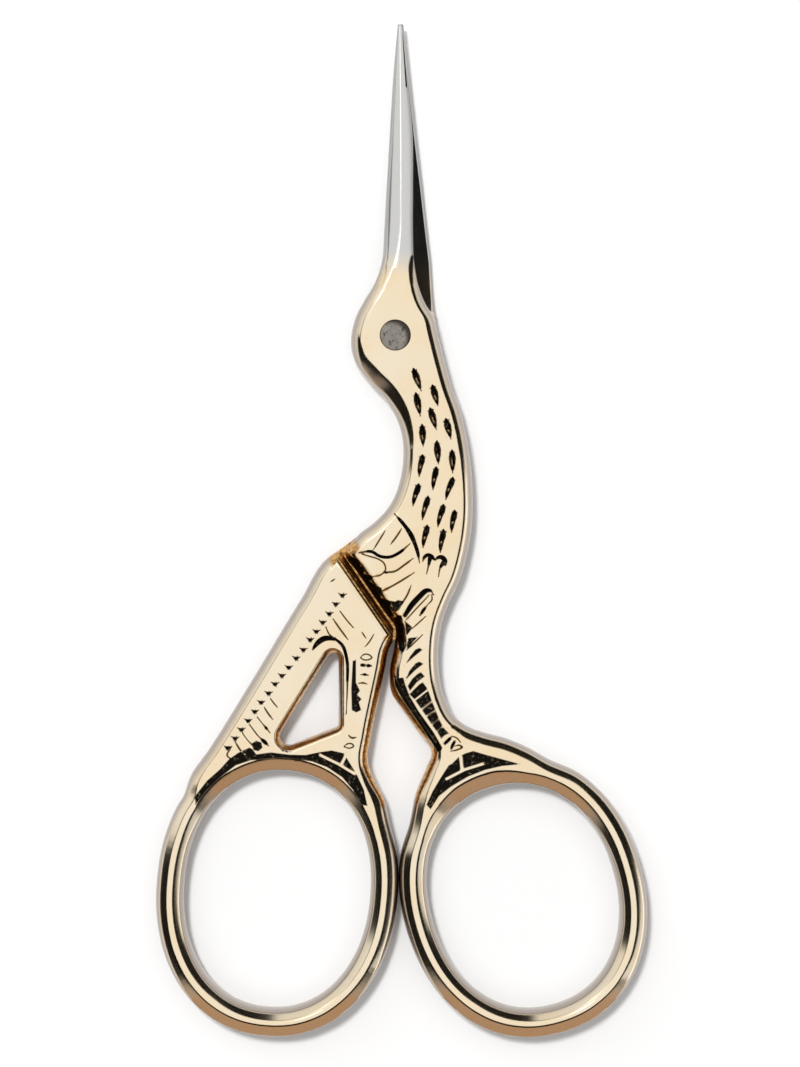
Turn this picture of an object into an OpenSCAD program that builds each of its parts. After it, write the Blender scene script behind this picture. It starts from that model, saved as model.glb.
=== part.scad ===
// Stork embroidery scissors, closed and lying flat.
// The rivet stands on the Z axis, the table is z = 0 and the blades point along +Y.
// Each half runs from blade to finger ring. The halves lap at half thickness in the blades,
// head, neck and body, and are as thick as the whole scissors in the legs, tail and rings.

/* [Thickness] */
// Thickness of the closed scissors
thickness = 4; // [3:0.1:5]
// Gap between the two flat inner faces
lap_gap = 0.05; // [0.02:0.01:0.1]
// Width of the rounded edges, seen from above
edge_w = 1.15; // [0.8:0.05:1.15]
// Height of the rounded edges
edge_h = 1.6; // [1:0.1:1.7]

/* [Blades] */
// Rivet to the tips of the blades
blade_l = 27.5; // [20:0.5:40]
// Thickness of each blade at its tip
tip_t = 0.4; // [0.3:0.05:0.8]
// Width of each blade's point
tip_w = 0.45; // [0.3:0.05:0.7]
// Height of the narrow wall along each blade's back
spine_t = 0.35; // [0.2:0.05:0.5]
// Height of the wall left on each cutting edge
edge_t = 0.08; // [0.05:0.01:0.15]

/* [Finger rings] */
// Width of the left finger hole
left_hole_w = 16.4; // [14:0.1:20]
// Length of the left finger hole
left_hole_l = 21; // [17:0.1:23]
// Width of the right finger hole
right_hole_w = 16.5; // [14:0.1:20]
// Length of the right finger hole
right_hole_l = 20; // [17:0.1:23]
// Width of the metal round both finger holes
ring_w = 2.45; // [2:0.05:3.5]
// Width of the rounded edges inside both finger holes
hole_edge_w = 1.05; // [0.6:0.05:1.2]
// Gap between the two rings when the scissors are closed
ring_gap = 0.15; // [0.05:0.05:1]

/* [Legs and tail] */
// Rivet to the bottom of both finger rings
handle_l = 61.7; // [60:0.1:70]
// Gap between each half and the step cut in the other
step_gap = 0.15; // [0.05:0.01:0.3]
// Radius of the rounded edge along both steps
step_r = 1; // [0.5:0.1:1.4]
// Width of the window in the tail, between its corners
window_w = 6.3; // [4:0.1:6.5]
// Length of the window in the tail, between its corners
window_l = 10.2; // [8:0.1:10.4]
// Width of the rounded edges inside the window
window_edge_w = 0.45; // [0.2:0.05:0.6]

/* [Rivet] */
// Diameter of the rivet's shank
shank_d = 1.7; // [1.4:0.1:2]
// Diameter of the rivet's flush heads
head_d = 2.7; // [2.4:0.1:3.4]
// Depth of the rivet's flush heads
head_h = 0.6; // [0.4:0.1:0.9]
// Clearance all round the rivet
rivet_gap = 0.02; // [0.01:0.005:0.05]

/* [Hidden] */

gold = [0.93, 0.84, 0.66];
steel = [0.62, 0.61, 0.59];

// Half the thickness is one layer of the lap
layer = thickness / 2;
// The rounded edges may not use up a layer or a ring
round_h = min(edge_h, layer - 0.1);
round_w = min(edge_w, ring_w / 2 - 0.05);
hole_round_w = min(hole_edge_w, ring_w / 2 - 0.05);
// Steps of each rounded edge, and pieces of curve between two outline points
round_steps = 4;
curve_steps = 2;
// Reach of the cutters past the metal
past = 80;

// The outlines are drawn with these lengths, and stretched where a length differs
drawn_blade_l = 27.5;
drawn_left_reach = 38.4;
drawn_right_reach = 39.6;
blade_from = 9;
leg_from = -27;
// The blades thin out from here to their tips
thin_from = 3;
// Rounded edges turn into straight bevels between these two heights
bevel_from = 2;
bevel_full = 7;
// Fall of the window's lower edge, and how far cutters clear the faces
window_fall = 2.5;
clear = 0.2;
function blade_y(y) = y < blade_from ? y :
    blade_from + (y - blade_from) * (blade_l - blade_from) / (drawn_blade_l - blade_from);
function lowered(p, reach, drawn) = p.y > leg_from ? p :
    [p.x, leg_from + (p.y - leg_from) * (reach + leg_from) / (drawn + leg_from)];

// Line where the front body ends over the tail, and where the back body ends behind the leg
front_step = [[-4.4, -19.3], [0, -25.7]];
back_step = [[0, -26.9], [4.4, -24.2]];

// Sides of the blades from tip to head: height, left edge, left and right rim of the flat, right edge
tip_x = 0.45;
front_blade = [
    [27.5, tip_x - tip_w / 2, tip_x - 0.05, tip_x + 0.05, tip_x + tip_w / 2],
    [22.5, -0.2, 0.45, 0.55, 1.1],
    [17.5, -0.5, 0.5, 0.65, 1.55],
    [12.5, -0.8, 0.5, 0.65, 1.6],
    [9, -1, 0.45, 0.7, 1.6],
    [6.5, -1.2, 0, 0.9, 1.7],
    [4.5, -1.9, -0.9, 1.2, 2.05],
    [3, -2.8, -1.9, 1.5, 2.6]
];
back_blade = [
    [27.5, tip_x - tip_w / 2 + 0.05, tip_x, tip_x + 0.1, tip_x + tip_w / 2 + 0.05],
    [22.5, 0.2, 0.6, 0.75, 1.25],
    [17.5, 0.2, 0.85, 1, 1.8],
    [12.5, 0.1, 1.1, 1.25, 2.4],
    [9, 0, 1.2, 1.5, 2.8],
    [6.5, -0.3, 0.9, 1.8, 3.1],
    [4.5, -1, 0.2, 2, 3.2],
    [3, -2, -0.8, 2.1, 3.3]
];

// Head and throat, down the left side to the breast
head_left = [
    [-3.9, -0.4], [-3.5, -2.4], [-2.4, -3.9], [-1, -5.4], [0, -7], [0.6, -8.8],
    [0.7, -10.8], [0.4, -12.8], [-0.4, -14.8], [-1.8, -16.4], [-3.4, -17.7]
];
// Back of the neck, up the right side to the head
neck_right = [
    [4.9, -23.2], [5.7, -21.5], [6.4, -19], [6.8, -16.2], [6.8, -13.2], [6.5, -10.1],
    [5.8, -6.8], [5, -4.5], [4.3, -2], [3.8, 0]
];
// Left side of the leg, from the step to the ring
leg_left = [
    [-0.1, -27.4], [-0.5, -29.6], [-0.3, -31.5], [0.6, -32.9], [1.8, -34.6], [3.2, -36.7],
    [2.7, -38.2], [1.8, -40.4]
];
// Right side of the leg, from the ring to the body
leg_right = [
    [11.9, -36.4], [9.8, -35.5], [7.9, -35], [6.3, -34.4], [5.1, -33.4], [4.4, -32],
    [3.9, -30], [3.8, -27.8], [4.1, -25.4]
];
// Left side of the tail, from the shoulder to the ring
tail_left = [
    [-4.7, -18.7], [-5.9, -19.5], [-8.3, -23.2], [-12.6, -30.3], [-16.4, -36.4], [-18.1, -38.9],
    [-18.7, -40.6]
];
// Right side of the tail, from the ring to the body
tail_right = [
    [-1, -40.8], [-1.9, -39], [-2.4, -37.5], [-2.1, -35.2], [-1.5, -32.2], [-0.9, -29.4],
    [-0.6, -27.8]
];

// Finger holes are slightly squared ovals, leaning apart
oval = 2.15;
left_lean = -5;
right_lean = 16;
rings_meet_x = 0.35;
function oval_point(size, u) =
    [size.x * sign(cos(u)) * pow(abs(cos(u)), 2 / oval), size.y * sign(sin(u)) * pow(abs(sin(u)), 2 / oval)];
function turned(p, a) = [p.x * cos(a) - p.y * sin(a), p.x * sin(a) + p.y * cos(a)];
function half_w(size, a) = norm([size.x * cos(a), size.y * sin(a)]);
function half_l(size, a) = norm([size.x * sin(a), size.y * cos(a)]);
function ring_point(centre, size, lean, u) = centre + turned(oval_point(size, u), lean);

left_hole = [left_hole_w, left_hole_l] / 2;
right_hole = [right_hole_w, right_hole_l] / 2;
left_ring = left_hole + [ring_w, ring_w];
right_ring = right_hole + [ring_w, ring_w];
left_c = [rings_meet_x - ring_gap / 2 - half_w(left_ring, left_lean), half_l(left_ring, left_lean) - handle_l];
right_c = [rings_meet_x + ring_gap / 2 + half_w(right_ring, right_lean), half_l(right_ring, right_lean) - handle_l];
// Rivet to the top of each finger hole
left_reach = -left_c.y - half_l(left_hole, left_lean);
right_reach = -right_c.y - half_l(right_hole, right_lean);

// Direction of a curve at one of its points, from the spacing of the neighbours
function heading(p, i) =
    i == 0 ? (p[1] - p[0]) / norm(p[1] - p[0]) :
    i == len(p) - 1 ? (p[i] - p[i - 1]) / norm(p[i] - p[i - 1]) :
    let (a = p[i] - p[i - 1], b = p[i + 1] - p[i], la = norm(a), lb = norm(b))
    (a / la * lb + b / lb * la) / (la + lb);
// Smooth curve through points, straight on at both ends
function curve(p) = concat(
    [for (i = [0 : len(p) - 2]) let (l = norm(p[i + 1] - p[i]), m = heading(p, i) * l, n = heading(p, i + 1) * l)
        for (k = [0 : curve_steps - 1]) let (t = k / curve_steps)
            p[i] * (2 * pow(t, 3) - 3 * t * t + 1) + m * (pow(t, 3) - 2 * t * t + t)
            + p[i + 1] * (3 * t * t - 2 * pow(t, 3)) + n * (pow(t, 3) - t * t)],
    [p[len(p) - 1]]);
// Rim of the flat face, one rounded edge inside an outline
function inner(p, i) = let (h = heading(p, i), u = h / norm(h)) p[i] + round_w * [-u.y, u.x];

// A half's outline against the clock from its tip, each point with its place on the rim of the flat
function half_outline(blade, body) =
    let (n = len(blade),
         left = [for (s = blade) [s[1], blade_y(s[0]), s[2], blade_y(s[0])]],
         right = [for (i = [n - 1 : -1 : 0]) let (s = blade[i]) [s[4], blade_y(s[0]), s[3], blade_y(s[0])]],
         whole = concat([[left[n - 1].x, left[n - 1].y]], body, [[right[0].x, right[0].y]]),
         middle = [for (i = [1 : len(body)]) [each whole[i], each inner(whole, i)]])
    curve(concat(left, middle, right));

// Height of the outer face over the middle plane, less towards the tip
function rise(y) = y < thin_from ? layer : tip_t + (layer - tip_t) * (blade_l - y) / (blade_l - thin_from);
// How far a side is a flat bevel and not a rounded edge
function flatness(y) = max(0, min(1, (y - bevel_from) / (bevel_full - bevel_from)));

// Solid between stacked loops of points. The first and last few of each loop are pairs across a blade.
module loft(loops, pairs) {
    n = len(loops[0]);
    top = (len(loops) - 1) * n;
    sides = [for (j = [0 : len(loops) - 2], i = [0 : n - 1]) let (a = j * n + i, b = j * n + (i + 1) % n)
        each [[a, a + n, b + n], [a, b + n, b]]];
    bridges = [for (i = [0 : 1 : pairs - 2]) let (a = i, b = i + 1, c = n - 2 - i, d = n - 1 - i)
        each [[a, b, c], [a, c, d], [top + d, top + c, top + b], [top + d, top + b, top + a]]];
    rest = pairs > 0 ? [pairs - 1, n - pairs] : [0, n - 1];
    flats = [[for (i = [rest[0] : rest[1]]) i], [for (i = [rest[1] : -1 : rest[0]]) top + i]];
    polyhedron([for (l = loops) each l], concat(sides, bridges, flats));
}

// One half before it is cut: flat faces, rounded edges and bevelled blade
module blank(blade, body, spine_left) {
    outline = half_outline(blade, body);
    pairs = (len(blade) - 1) * curve_steps + 1;
    function edge_wall(i, y) = let (
        on_left = i < len(outline) / 2,
        keen = on_left == spine_left ? spine_t : edge_t,
        full = layer - round_h)
        full + (min(keen, rise(y) / 2) - full) * flatness(y);
    function loop(k, side) = [for (i = [0 : len(outline) - 1]) let (
        v = outline[i], f = flatness(v.y), s = k / round_steps, w = edge_wall(i, v.y),
        in = s * f + (1 - cos(90 * s)) * (1 - f), up = s * f + sin(90 * s) * (1 - f))
        [v[0] + (v[2] - v[0]) * in, v[1] + (v[3] - v[1]) * in, layer + side * (w + (rise(v.y) - w) * up)]];
    loft(concat([for (k = [round_steps : -1 : 0]) loop(k, -1)], [for (k = [0 : round_steps]) loop(k, 1)]), pairs);
}

// Cutter for a hole whose rims are rounded on both faces
module rounded_hole(outline, w) {
    n = len(outline);
    function out(i) = let (u = outline[(i + 1) % n] - outline[(i + n - 1) % n]) [u.y, -u.x] / norm(u);
    function loop(grow, z) = [for (i = [0 : n - 1]) [each outline[i] + grow * out(i), z]];
    arc = [for (k = [0 : round_steps]) 80 * k / round_steps];
    rim = [for (a = arc) [w * (1 - cos(a)), layer - round_h + round_h * sin(a)]];
    over = [w + clear, layer + clear];
    loft(concat(
        [loop(over[0], layer - over[1])],
        [for (k = [round_steps : -1 : 0]) loop(rim[k][0], layer - rim[k][1])],
        [for (r = rim) loop(r[0], layer + r[1])],
        [loop(over[0], layer + over[1])]), 0);
}

module finger_hole(centre, size, lean)
    rounded_hole([for (u = [0 : 7.5 : 359]) ring_point(centre, size, lean, u)], hole_round_w);

// Corners with arcs of their own radius
function arcs(corners, steps) = let (n = len(corners)) [for (i = [0 : n - 1]) let (
    c = corners[i], a = corners[(i + n - 1) % n], b = corners[(i + 1) % n],
    p = [c[0], c[1]], ua = ([a[0], a[1]] - p) / norm([a[0], a[1]] - p), ub = ([b[0], b[1]] - p) / norm([b[0], b[1]] - p),
    mid = (ua + ub) / norm(ua + ub), half = acos(ua * ub) / 2, centre = p + mid * c[2] / sin(half),
    from = atan2(-mid.y, -mid.x) - (90 - half))
    for (k = [0 : steps]) centre + c[2] * [cos(from + 2 * (90 - half) * k / steps), sin(from + 2 * (90 - half) * k / steps)]];

module tail_window() {
    right = -5;
    top = -26.7;
    low = lowered([right, top - window_l], left_reach, drawn_left_reach).y;
    rounded_hole(arcs([[right, top, 0.5], [right - window_w, low, 0.8], [right, low + window_fall, 0.35]], 4), window_edge_w);
}

// Cut away one layer on the left side of a line, seen along it, and round the edge that stays.
// side is 1 for the upper layer and -1 for the lower one.
module step_cut(line, side) {
    d = line[1] - line[0];
    translate([line[0].x, line[0].y, layer]) rotate(atan2(d.y, d.x)) scale([1, 1, side]) translate([-past, 0, 0]) {
        translate([0, 0, -lap_gap / 2]) cube([2 * past, past, layer + 1]);
        difference() {
            translate([0, -step_r, layer - step_r]) cube([2 * past, step_r + 1, step_r + 1]);
            translate([0, -step_r, layer - step_r]) rotate([0, 90, 0]) cylinder(h = 2 * past, r = step_r, $fn = 32);
        }
    }
}
function shifted(line, gap) = let (d = line[1] - line[0], u = d / norm(d)) [for (p = line) p + gap * [-u.y, u.x]];

module rivet_shape(gap) {
    rotate_extrude($fn = 64) polygon([
        [0, 0], [head_d / 2 + gap, 0], [shank_d / 2 + gap, head_h + gap],
        [shank_d / 2 + gap, thickness - head_h - gap], [head_d / 2 + gap, thickness], [0, thickness]]);
}

module front_half() color(gold) difference() {
    resize([0, 0, thickness]) front_forging();
    rivet_shape(rivet_gap);
}

module front_forging() difference() {
    body = concat(
        [[-3.5, 1.6]], head_left,
        [for (t = [0, 0.2, 0.5, 0.8, 1]) front_step[0] + (front_step[1] - front_step[0]) * t],
        [for (p = leg_left) lowered(p, right_reach, drawn_right_reach)],
        [for (u = [136 : 15 : 421]) ring_point(right_c, right_ring, right_lean, u)],
        [for (p = leg_right) lowered(p, right_reach, drawn_right_reach)],
        neck_right, [[3.4, 1.6]]);
    blank(front_blade, body, true);
    step_cut(back_step, -1);
    finger_hole(right_c, right_hole, right_lean);
}

module back_half() color(gold) difference() {
    resize([0, 0, thickness]) back_forging();
    rivet_shape(rivet_gap);
}

module back_forging() difference() {
    body = concat(
        [[-3.1, 1.6]], head_left,
        [for (p = tail_left) lowered(p, left_reach, drawn_left_reach)],
        [for (u = [150 : 15 : 390]) ring_point(left_c, left_ring, left_lean, u)],
        [for (p = tail_right) lowered(p, left_reach, drawn_left_reach)],
        shifted(back_step, step_gap),
        neck_right, [[3.5, 1.6]]);
    blank(back_blade, body, false);
    step_cut(shifted(front_step, -step_gap), 1);
    beside_leg_cut();
    finger_hole(left_c, left_hole, left_lean);
    tail_window();
}

// Past the end of its step, the tail's upper layer stops beside the leg's left side
module beside_leg_cut() {
    side = shifted([front_step[1], lowered(leg_left[0], right_reach, drawn_right_reach)], -step_gap);
    translate([0, 0, layer - lap_gap / 2]) linear_extrude(layer + 1)
        polygon([side[0], side[1], side[1] + [1, 0], side[0] + [1, 0]]);
}

module pivot_rivet() color(steel) rivet_shape(0);

back_half();
front_half();
pivot_rivet();
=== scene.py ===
import math

import bpy
import numpy as np
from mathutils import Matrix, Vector, geometry, kdtree


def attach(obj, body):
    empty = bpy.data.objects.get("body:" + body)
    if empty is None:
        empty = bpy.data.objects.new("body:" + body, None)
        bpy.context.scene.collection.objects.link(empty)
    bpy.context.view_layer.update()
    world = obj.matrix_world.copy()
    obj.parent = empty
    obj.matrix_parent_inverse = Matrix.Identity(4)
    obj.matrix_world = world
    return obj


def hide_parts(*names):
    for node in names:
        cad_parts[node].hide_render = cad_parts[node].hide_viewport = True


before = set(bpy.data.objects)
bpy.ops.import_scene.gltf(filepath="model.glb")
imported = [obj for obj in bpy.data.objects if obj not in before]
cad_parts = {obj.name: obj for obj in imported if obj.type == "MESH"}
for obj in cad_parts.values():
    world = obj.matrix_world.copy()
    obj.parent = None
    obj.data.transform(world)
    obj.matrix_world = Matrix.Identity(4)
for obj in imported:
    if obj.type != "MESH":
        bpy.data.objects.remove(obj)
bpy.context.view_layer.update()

bl_info = {
    "name": "Stork embroidery scissors",
    "version": (1, 0, 0),
    "blender": (4, 5, 0),
    "location": "3D Viewport > Sidebar > Scissors",
    "description": "Forges, engraves, plates and lights a pair of stork embroidery scissors",
    "category": "Object",
}

MM = 0.001

# Outlines, in millimetres from the rivet. +Y points to the blade tips, and the scissors lie flat.

DRAWN_BLADE = 27.5
# Height up the blade, left edge, rims of the narrow flat, right edge, from the tip to the head
FRONT_BLADE = [
    (27.5, 0.225, 0.4, 0.5, 0.675), (22.5, -0.2, 0.45, 0.55, 1.1), (17.5, -0.5, 0.5, 0.65, 1.55),
    (12.5, -0.8, 0.5, 0.65, 1.6), (9, -1, 0.45, 0.7, 1.6), (6.5, -1.2, 0, 0.9, 1.7),
    (4.5, -1.9, -0.9, 1.2, 2.05), (3, -2.8, -1.9, 1.5, 2.6)]
BACK_BLADE = [
    (27.5, 0.275, 0.45, 0.55, 0.725), (22.5, 0.2, 0.6, 0.75, 1.25), (17.5, 0.2, 0.85, 1, 1.8),
    (12.5, 0.1, 1.1, 1.25, 2.4), (9, 0, 1.2, 1.5, 2.8), (6.5, -0.3, 0.9, 1.8, 3.1),
    (4.5, -1, 0.2, 2, 3.2), (3, -2, -0.8, 2.1, 3.3)]
# Lower blade's ground facet: height up the blade, the facet's inner edge and the blade's outer edge
FACET = [
    (27.6, 0.45, 0.75), (22.5, 1, 1.25), (17.5, 1.42, 1.8), (12.5, 1.48, 2.4), (9, 1.5, 2.8),
    (6.5, 1.6, 3.1), (4.5, 1.95, 3.2), (3, 2.5, 3.3), (2.2, 3, 3.3)]
# Where the head starts to turn into the blade, where it is all blade, and where its two sides start
BLADE_FROM = 2
BLADE_WHOLE = 7
SIDES_FROM = 1.9
# Steep foot of the bevels on a blade's left and right side: its most width and its share of the bevel
LEFT_FOOT = (0.3, 0.4)
RIGHT_FOOT = (0.08, 0.3)
# Rows of points on a bevel: up to 1 a share of its foot, past 1 the share of its face plus 1
BEVEL_ROWS = (0.35, 0.7, 1, 1.35, 1.75, 2)
# How far the blade's walls lean in, and how far down the rows of its bevels and of its ridge go
WALL_LEAN = 0.03
BEVEL_FROM = 4.6
RIDGE_FROM = 3.2
HEAD_LEFT = [
    (-3.9, -0.4), (-3.5, -2.4), (-2.4, -3.9), (-1, -5.4), (0, -7), (0.6, -8.8),
    (0.7, -10.8), (0.4, -12.8), (-0.4, -14.8), (-1.8, -16.4), (-3.4, -17.7)]
NECK_RIGHT = [
    (4.9, -23.2), (5.7, -21.5), (6.4, -19), (6.8, -16.2), (6.8, -13.2), (6.5, -10.1),
    (5.8, -6.8), (5, -4.5), (4.3, -2), (3.8, 0)]
LEG_LEFT = [
    (-0.1, -27.4), (-0.5, -29.6), (-0.3, -31.5), (0.6, -32.9), (1.8, -34.6), (3.2, -36.7),
    (2.7, -38.2), (1.8, -40.4)]
LEG_RIGHT = [
    (11.9, -36.4), (9.8, -35.5), (7.9, -35), (6.3, -34.4), (5.1, -33.4), (4.4, -32),
    (3.9, -30), (3.8, -27.8), (4.1, -25.4)]
TAIL_LEFT = [
    (-4.7, -18.7), (-5.9, -19.5), (-8.3, -23.2), (-12.6, -30.3), (-16.4, -36.4), (-18.1, -38.9),
    (-18.7, -40.6)]
TAIL_RIGHT = [
    (-1, -40.8), (-1.9, -39), (-2.4, -37.5), (-2.1, -35.2), (-1.5, -32.2), (-0.9, -29.4),
    (-0.6, -27.8)]
FRONT_STEP = ((-4.4, -19.3), (0, -25.7))
BACK_STEP = ((0, -26.9), (4.4, -24.2))
LEFT_HOLE = {"centre": (-10.394, -48.766), "half": (8.2, 10.5), "lean": -5}
RIGHT_HOLE = {"centre": (11.268, -49.374), "half": (8.25, 10), "lean": 16}
OVAL = 2.15
RING_W = 2.45
WINDOW = [(-5, -26.7, 0.5), (-11.3, -36.9, 0.8), (-5, -34.4, 0.35)]

# Engraving. Each drop runs from its round head to its point.
NECK_DROPS = [
    (1.66, -3.14, 2.25, -4.82), (3.31, -4.58, 3.74, -6.16), (1.84, -5.29, 2.19, -7.01),
    (3.11, -6.6, 3.58, -8.22), (4.48, -7.52, 4.87, -9.03), (2.37, -8.07, 2.45, -9.71),
    (3.66, -9.52, 3.79, -11.28), (4.99, -10.3, 5.04, -12), (2.31, -10.68, 2.11, -12.36),
    (3.51, -11.75, 3.32, -13.51), (4.95, -12.65, 4.46, -14.36), (1.96, -13.22, 1.57, -14.92),
    (2.78, -14.33, 2.4, -16.14), (4.13, -15.04, 3.76, -16.76), (5.13, -15.55, 4.95, -17.25),
    (2.72, -16.86, 2.45, -18.59), (4.15, -17.24, 3.96, -19.02)]
DROP_W = 0.66
# The first drops are slender leaves, and the others commas with a thin tail. Each row of a shape says how far
# along the drop it is, its bow to the side and its share of the width. A raised sliver lies in each drop.
LEAF_DROPS = 8
LEAF_SHAPE = [
    (-0.12, 0, 0.3), (0.06, 0, 0.75), (0.3, 0, 1), (0.55, 0, 0.86), (0.82, 0, 0.5), (1.02, 0, 0.12)]
COMMA_SHAPE = [
    (-0.1, 0.06, 0.3), (0.06, 0.08, 0.76), (0.22, 0.06, 0.86), (0.42, 0, 0.76), (0.72, -0.03, 0.6),
    (1.04, 0, 0.2)]
LEAF_SLIVER = (0.2, 0.5, 0.72)
COMMA_SLIVER = (0.34, 0.56, 0.84)
SLIVER_BOW = 0.03
SLIVER_WIDTHS = [0.05, 0.13, 0.06]
# Lines that taper at both ends: width, then the points that they follow. They are cut wider than that by a
# swell, to a depth and with ends that are shares of the width.
LINE_SWELL = 1.25
LINE_DEPTH = 0.55
LINE_END = 0.35
FINE_LINES = {
    "wing": [
        (0.15, [(-0.9, -17.2), (-1.4, -18), (-1.86, -18.75)]),
        (0.17, [(0.55, -17), (0.1, -17.7), (-0.4, -18.35)]),
        (0.23, [(-3.2, -19.1), (-2.06, -19.0), (-1.36, -19.4), (-0.45, -19.47), (0.35, -19.1),
          (1.3, -18.3)]),
        (0.14, [(-2.9, -19.2), (-2.3, -19.4), (-1.5, -19.65), (-1.0, -20.0), (-0.85, -20.6),
          (-1.3, -21.05), (-1.95, -21.2)]),
        (0.18, [(-0.95, -20.8), (-0.1, -20.75), (0.76, -20.2), (1.56, -19.6)]),
        (0.17, [(-1.2, -22.5), (-0.05, -21.9), (1.66, -20.85)]),
        (0.17, [(-0.15, -24.45), (0.46, -23.7), (1.06, -22.8), (1.38, -22)])],
    "thigh": [
        (0.13, [(3.2, -22.8), (3.23, -23.2), (2.85, -23.65)]), (0.13, [(1.5, -25.75), (2.65, -24.7)]),
        (0.13, [(1.05, -27.6), (2.4, -26.3)]), (0.13, [(1, -24.95), (1.9, -23.95), (2.95, -22.85)]),
        (0.25, [(4.9, -35.3), (4.6, -35.6), (4.34, -35.85)]),
        (0.23, [(5.25, -35.6), (5.05, -35.95), (4.9, -36.35)]),
        (0.15, [(5.3, -36.05), (5.6, -35.98), (5.87, -36.15), (5.4, -36.4), (4.95, -36.5)]),
        (0.13, [(5, -35.2), (5.4, -35.35), (5.7, -35.7)])],
    "tail": [
        (0.13, [(-4.83, -24.24), (-4.3, -24.95), (-3.7, -25.65)]),
        (0.16, [(-5.46, -24.9), (-4.8, -25.85), (-4.16, -26.7)]),
        (0.13, [(-6.07, -25.65), (-5.75, -26.3), (-5.3, -26.6)]),
        (0.13, [(-10.94, -31.9), (-10.65, -32.3), (-10.38, -32.6)]),
        (0.16, [(-11.5, -32.65), (-11.15, -33.2), (-10.8, -33.65)]),
        (0.17, [(-14.03, -35.7), (-13.6, -36.4), (-13.2, -36.85)]),
        (0.14, [(-14.4, -36.2), (-14.75, -36.9), (-14.4, -37.2)]),
        (0.16, [(-4.1, -35.1), (-3.8, -35.35), (-3.45, -35.3)]),
        (0.13, [(-4.5, -36.1), (-4.15, -35.85), (-3.75, -35.9), (-3.65, -36.05), (-4.05, -36.25),
          (-4.5, -36.1)]),
        (0.13, [(-3.05, -28.3), (-2.75, -28.02), (-2.3, -28.05), (-2.05, -28.3), (-2.4, -28.5),
          (-2.85, -28.45), (-3.05, -28.3)]),
        (0.13, [(-2.9, -26.1), (-2.6, -26.55)]), (0.13, [(-1.9, -26.3), (-2.3, -26.95), (-2.6, -27.3)]),
        (0.14, [(-5.6, -21.6), (-5.35, -21.45)])]}
# Cuts of uneven width: the points that they follow, then the width at each
BOLD_CUTS = {
    "wing": [
        ([(-0.05, -15.7), (0.4, -16.2), (0.9, -16.8), (1.42, -17.6), (1.72, -18.3), (1.98, -19.1),
          (2.12, -19.95)],
         [0.06, 0.3, 0.34, 0.44, 0.36, 0.32, 0.1]),
        ([(-0.95, -20.8), (-0.75, -20.85)], [0.2, 0.24]),
        ([(2.42, -19.85), (2.55, -19.5), (2.82, -19.3), (3.2, -19.42), (3.5, -19.72), (3.75, -19.52),
          (4.05, -19.48),
          (4.35, -19.75), (4.4, -20.2)], [0.14, 0.3, 0.34, 0.36, 0.2, 0.3, 0.4, 0.44, 0.2]),
        ([(3.05, -19.6), (2.95, -20.1), (2.75, -20.95)], [0.42, 0.26, 0.12]),
        ([(4.2, -20), (3.95, -20.4), (3.8, -21.2)], [0.42, 0.24, 0.12])],
    "thigh": [
        ([(3.35, -22.75), (3.1, -22.42), (2.8, -22.4), (2.1, -22.97), (1.4, -23.75), (0.85, -24.6)],
         [0.1, 0.26, 0.42, 0.5, 0.5, 0.36]),
        ([(2.9, -23.6), (2.5, -24.1), (2.17, -24.6)], [0.06, 0.3, 0.2])],
    "tail": [
        ([(-12.1, -33.5), (-11.6, -34.15), (-11.3, -34.5), (-11.02, -34.85)], [0.1, 0.14, 0.26, 0.06]),
        ([(-12.75, -34.2), (-11.9, -35.3), (-11.45, -35.7), (-11.1, -36.05)], [0.1, 0.14, 0.36, 0.08]),
        ([(-13.36, -34.97), (-12.9, -35.6), (-12.5, -36)], [0.1, 0.13, 0.2]),
        ([(-7.25, -27.6), (-6.8, -27), (-6.2, -26.62), (-5.7, -26.6), (-5.25, -26.75)],
         [0.2, 0.46, 0.5, 0.4, 0.22]),
        ([(-5.3, -26.62), (-4.65, -27.2), (-4.27, -28.3), (-4.2, -30.5), (-4.3, -33.2)],
         [0.22, 0.3, 0.3, 0.24, 0.08]),
        ([(-2.95, -28.95), (-2.7, -28.97)], [0.3, 0.3]), ([(-2.4, -29), (-2.1, -29.02)], [0.34, 0.2]),
        ([(-3, -29.8), (-2.7, -29.78), (-2.35, -29.85)], [0.1, 0.26, 0.12]),
        ([(-3.15, -30.55), (-2.85, -30.52), (-2.5, -30.6)], [0.08, 0.24, 0.1])]}
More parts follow.
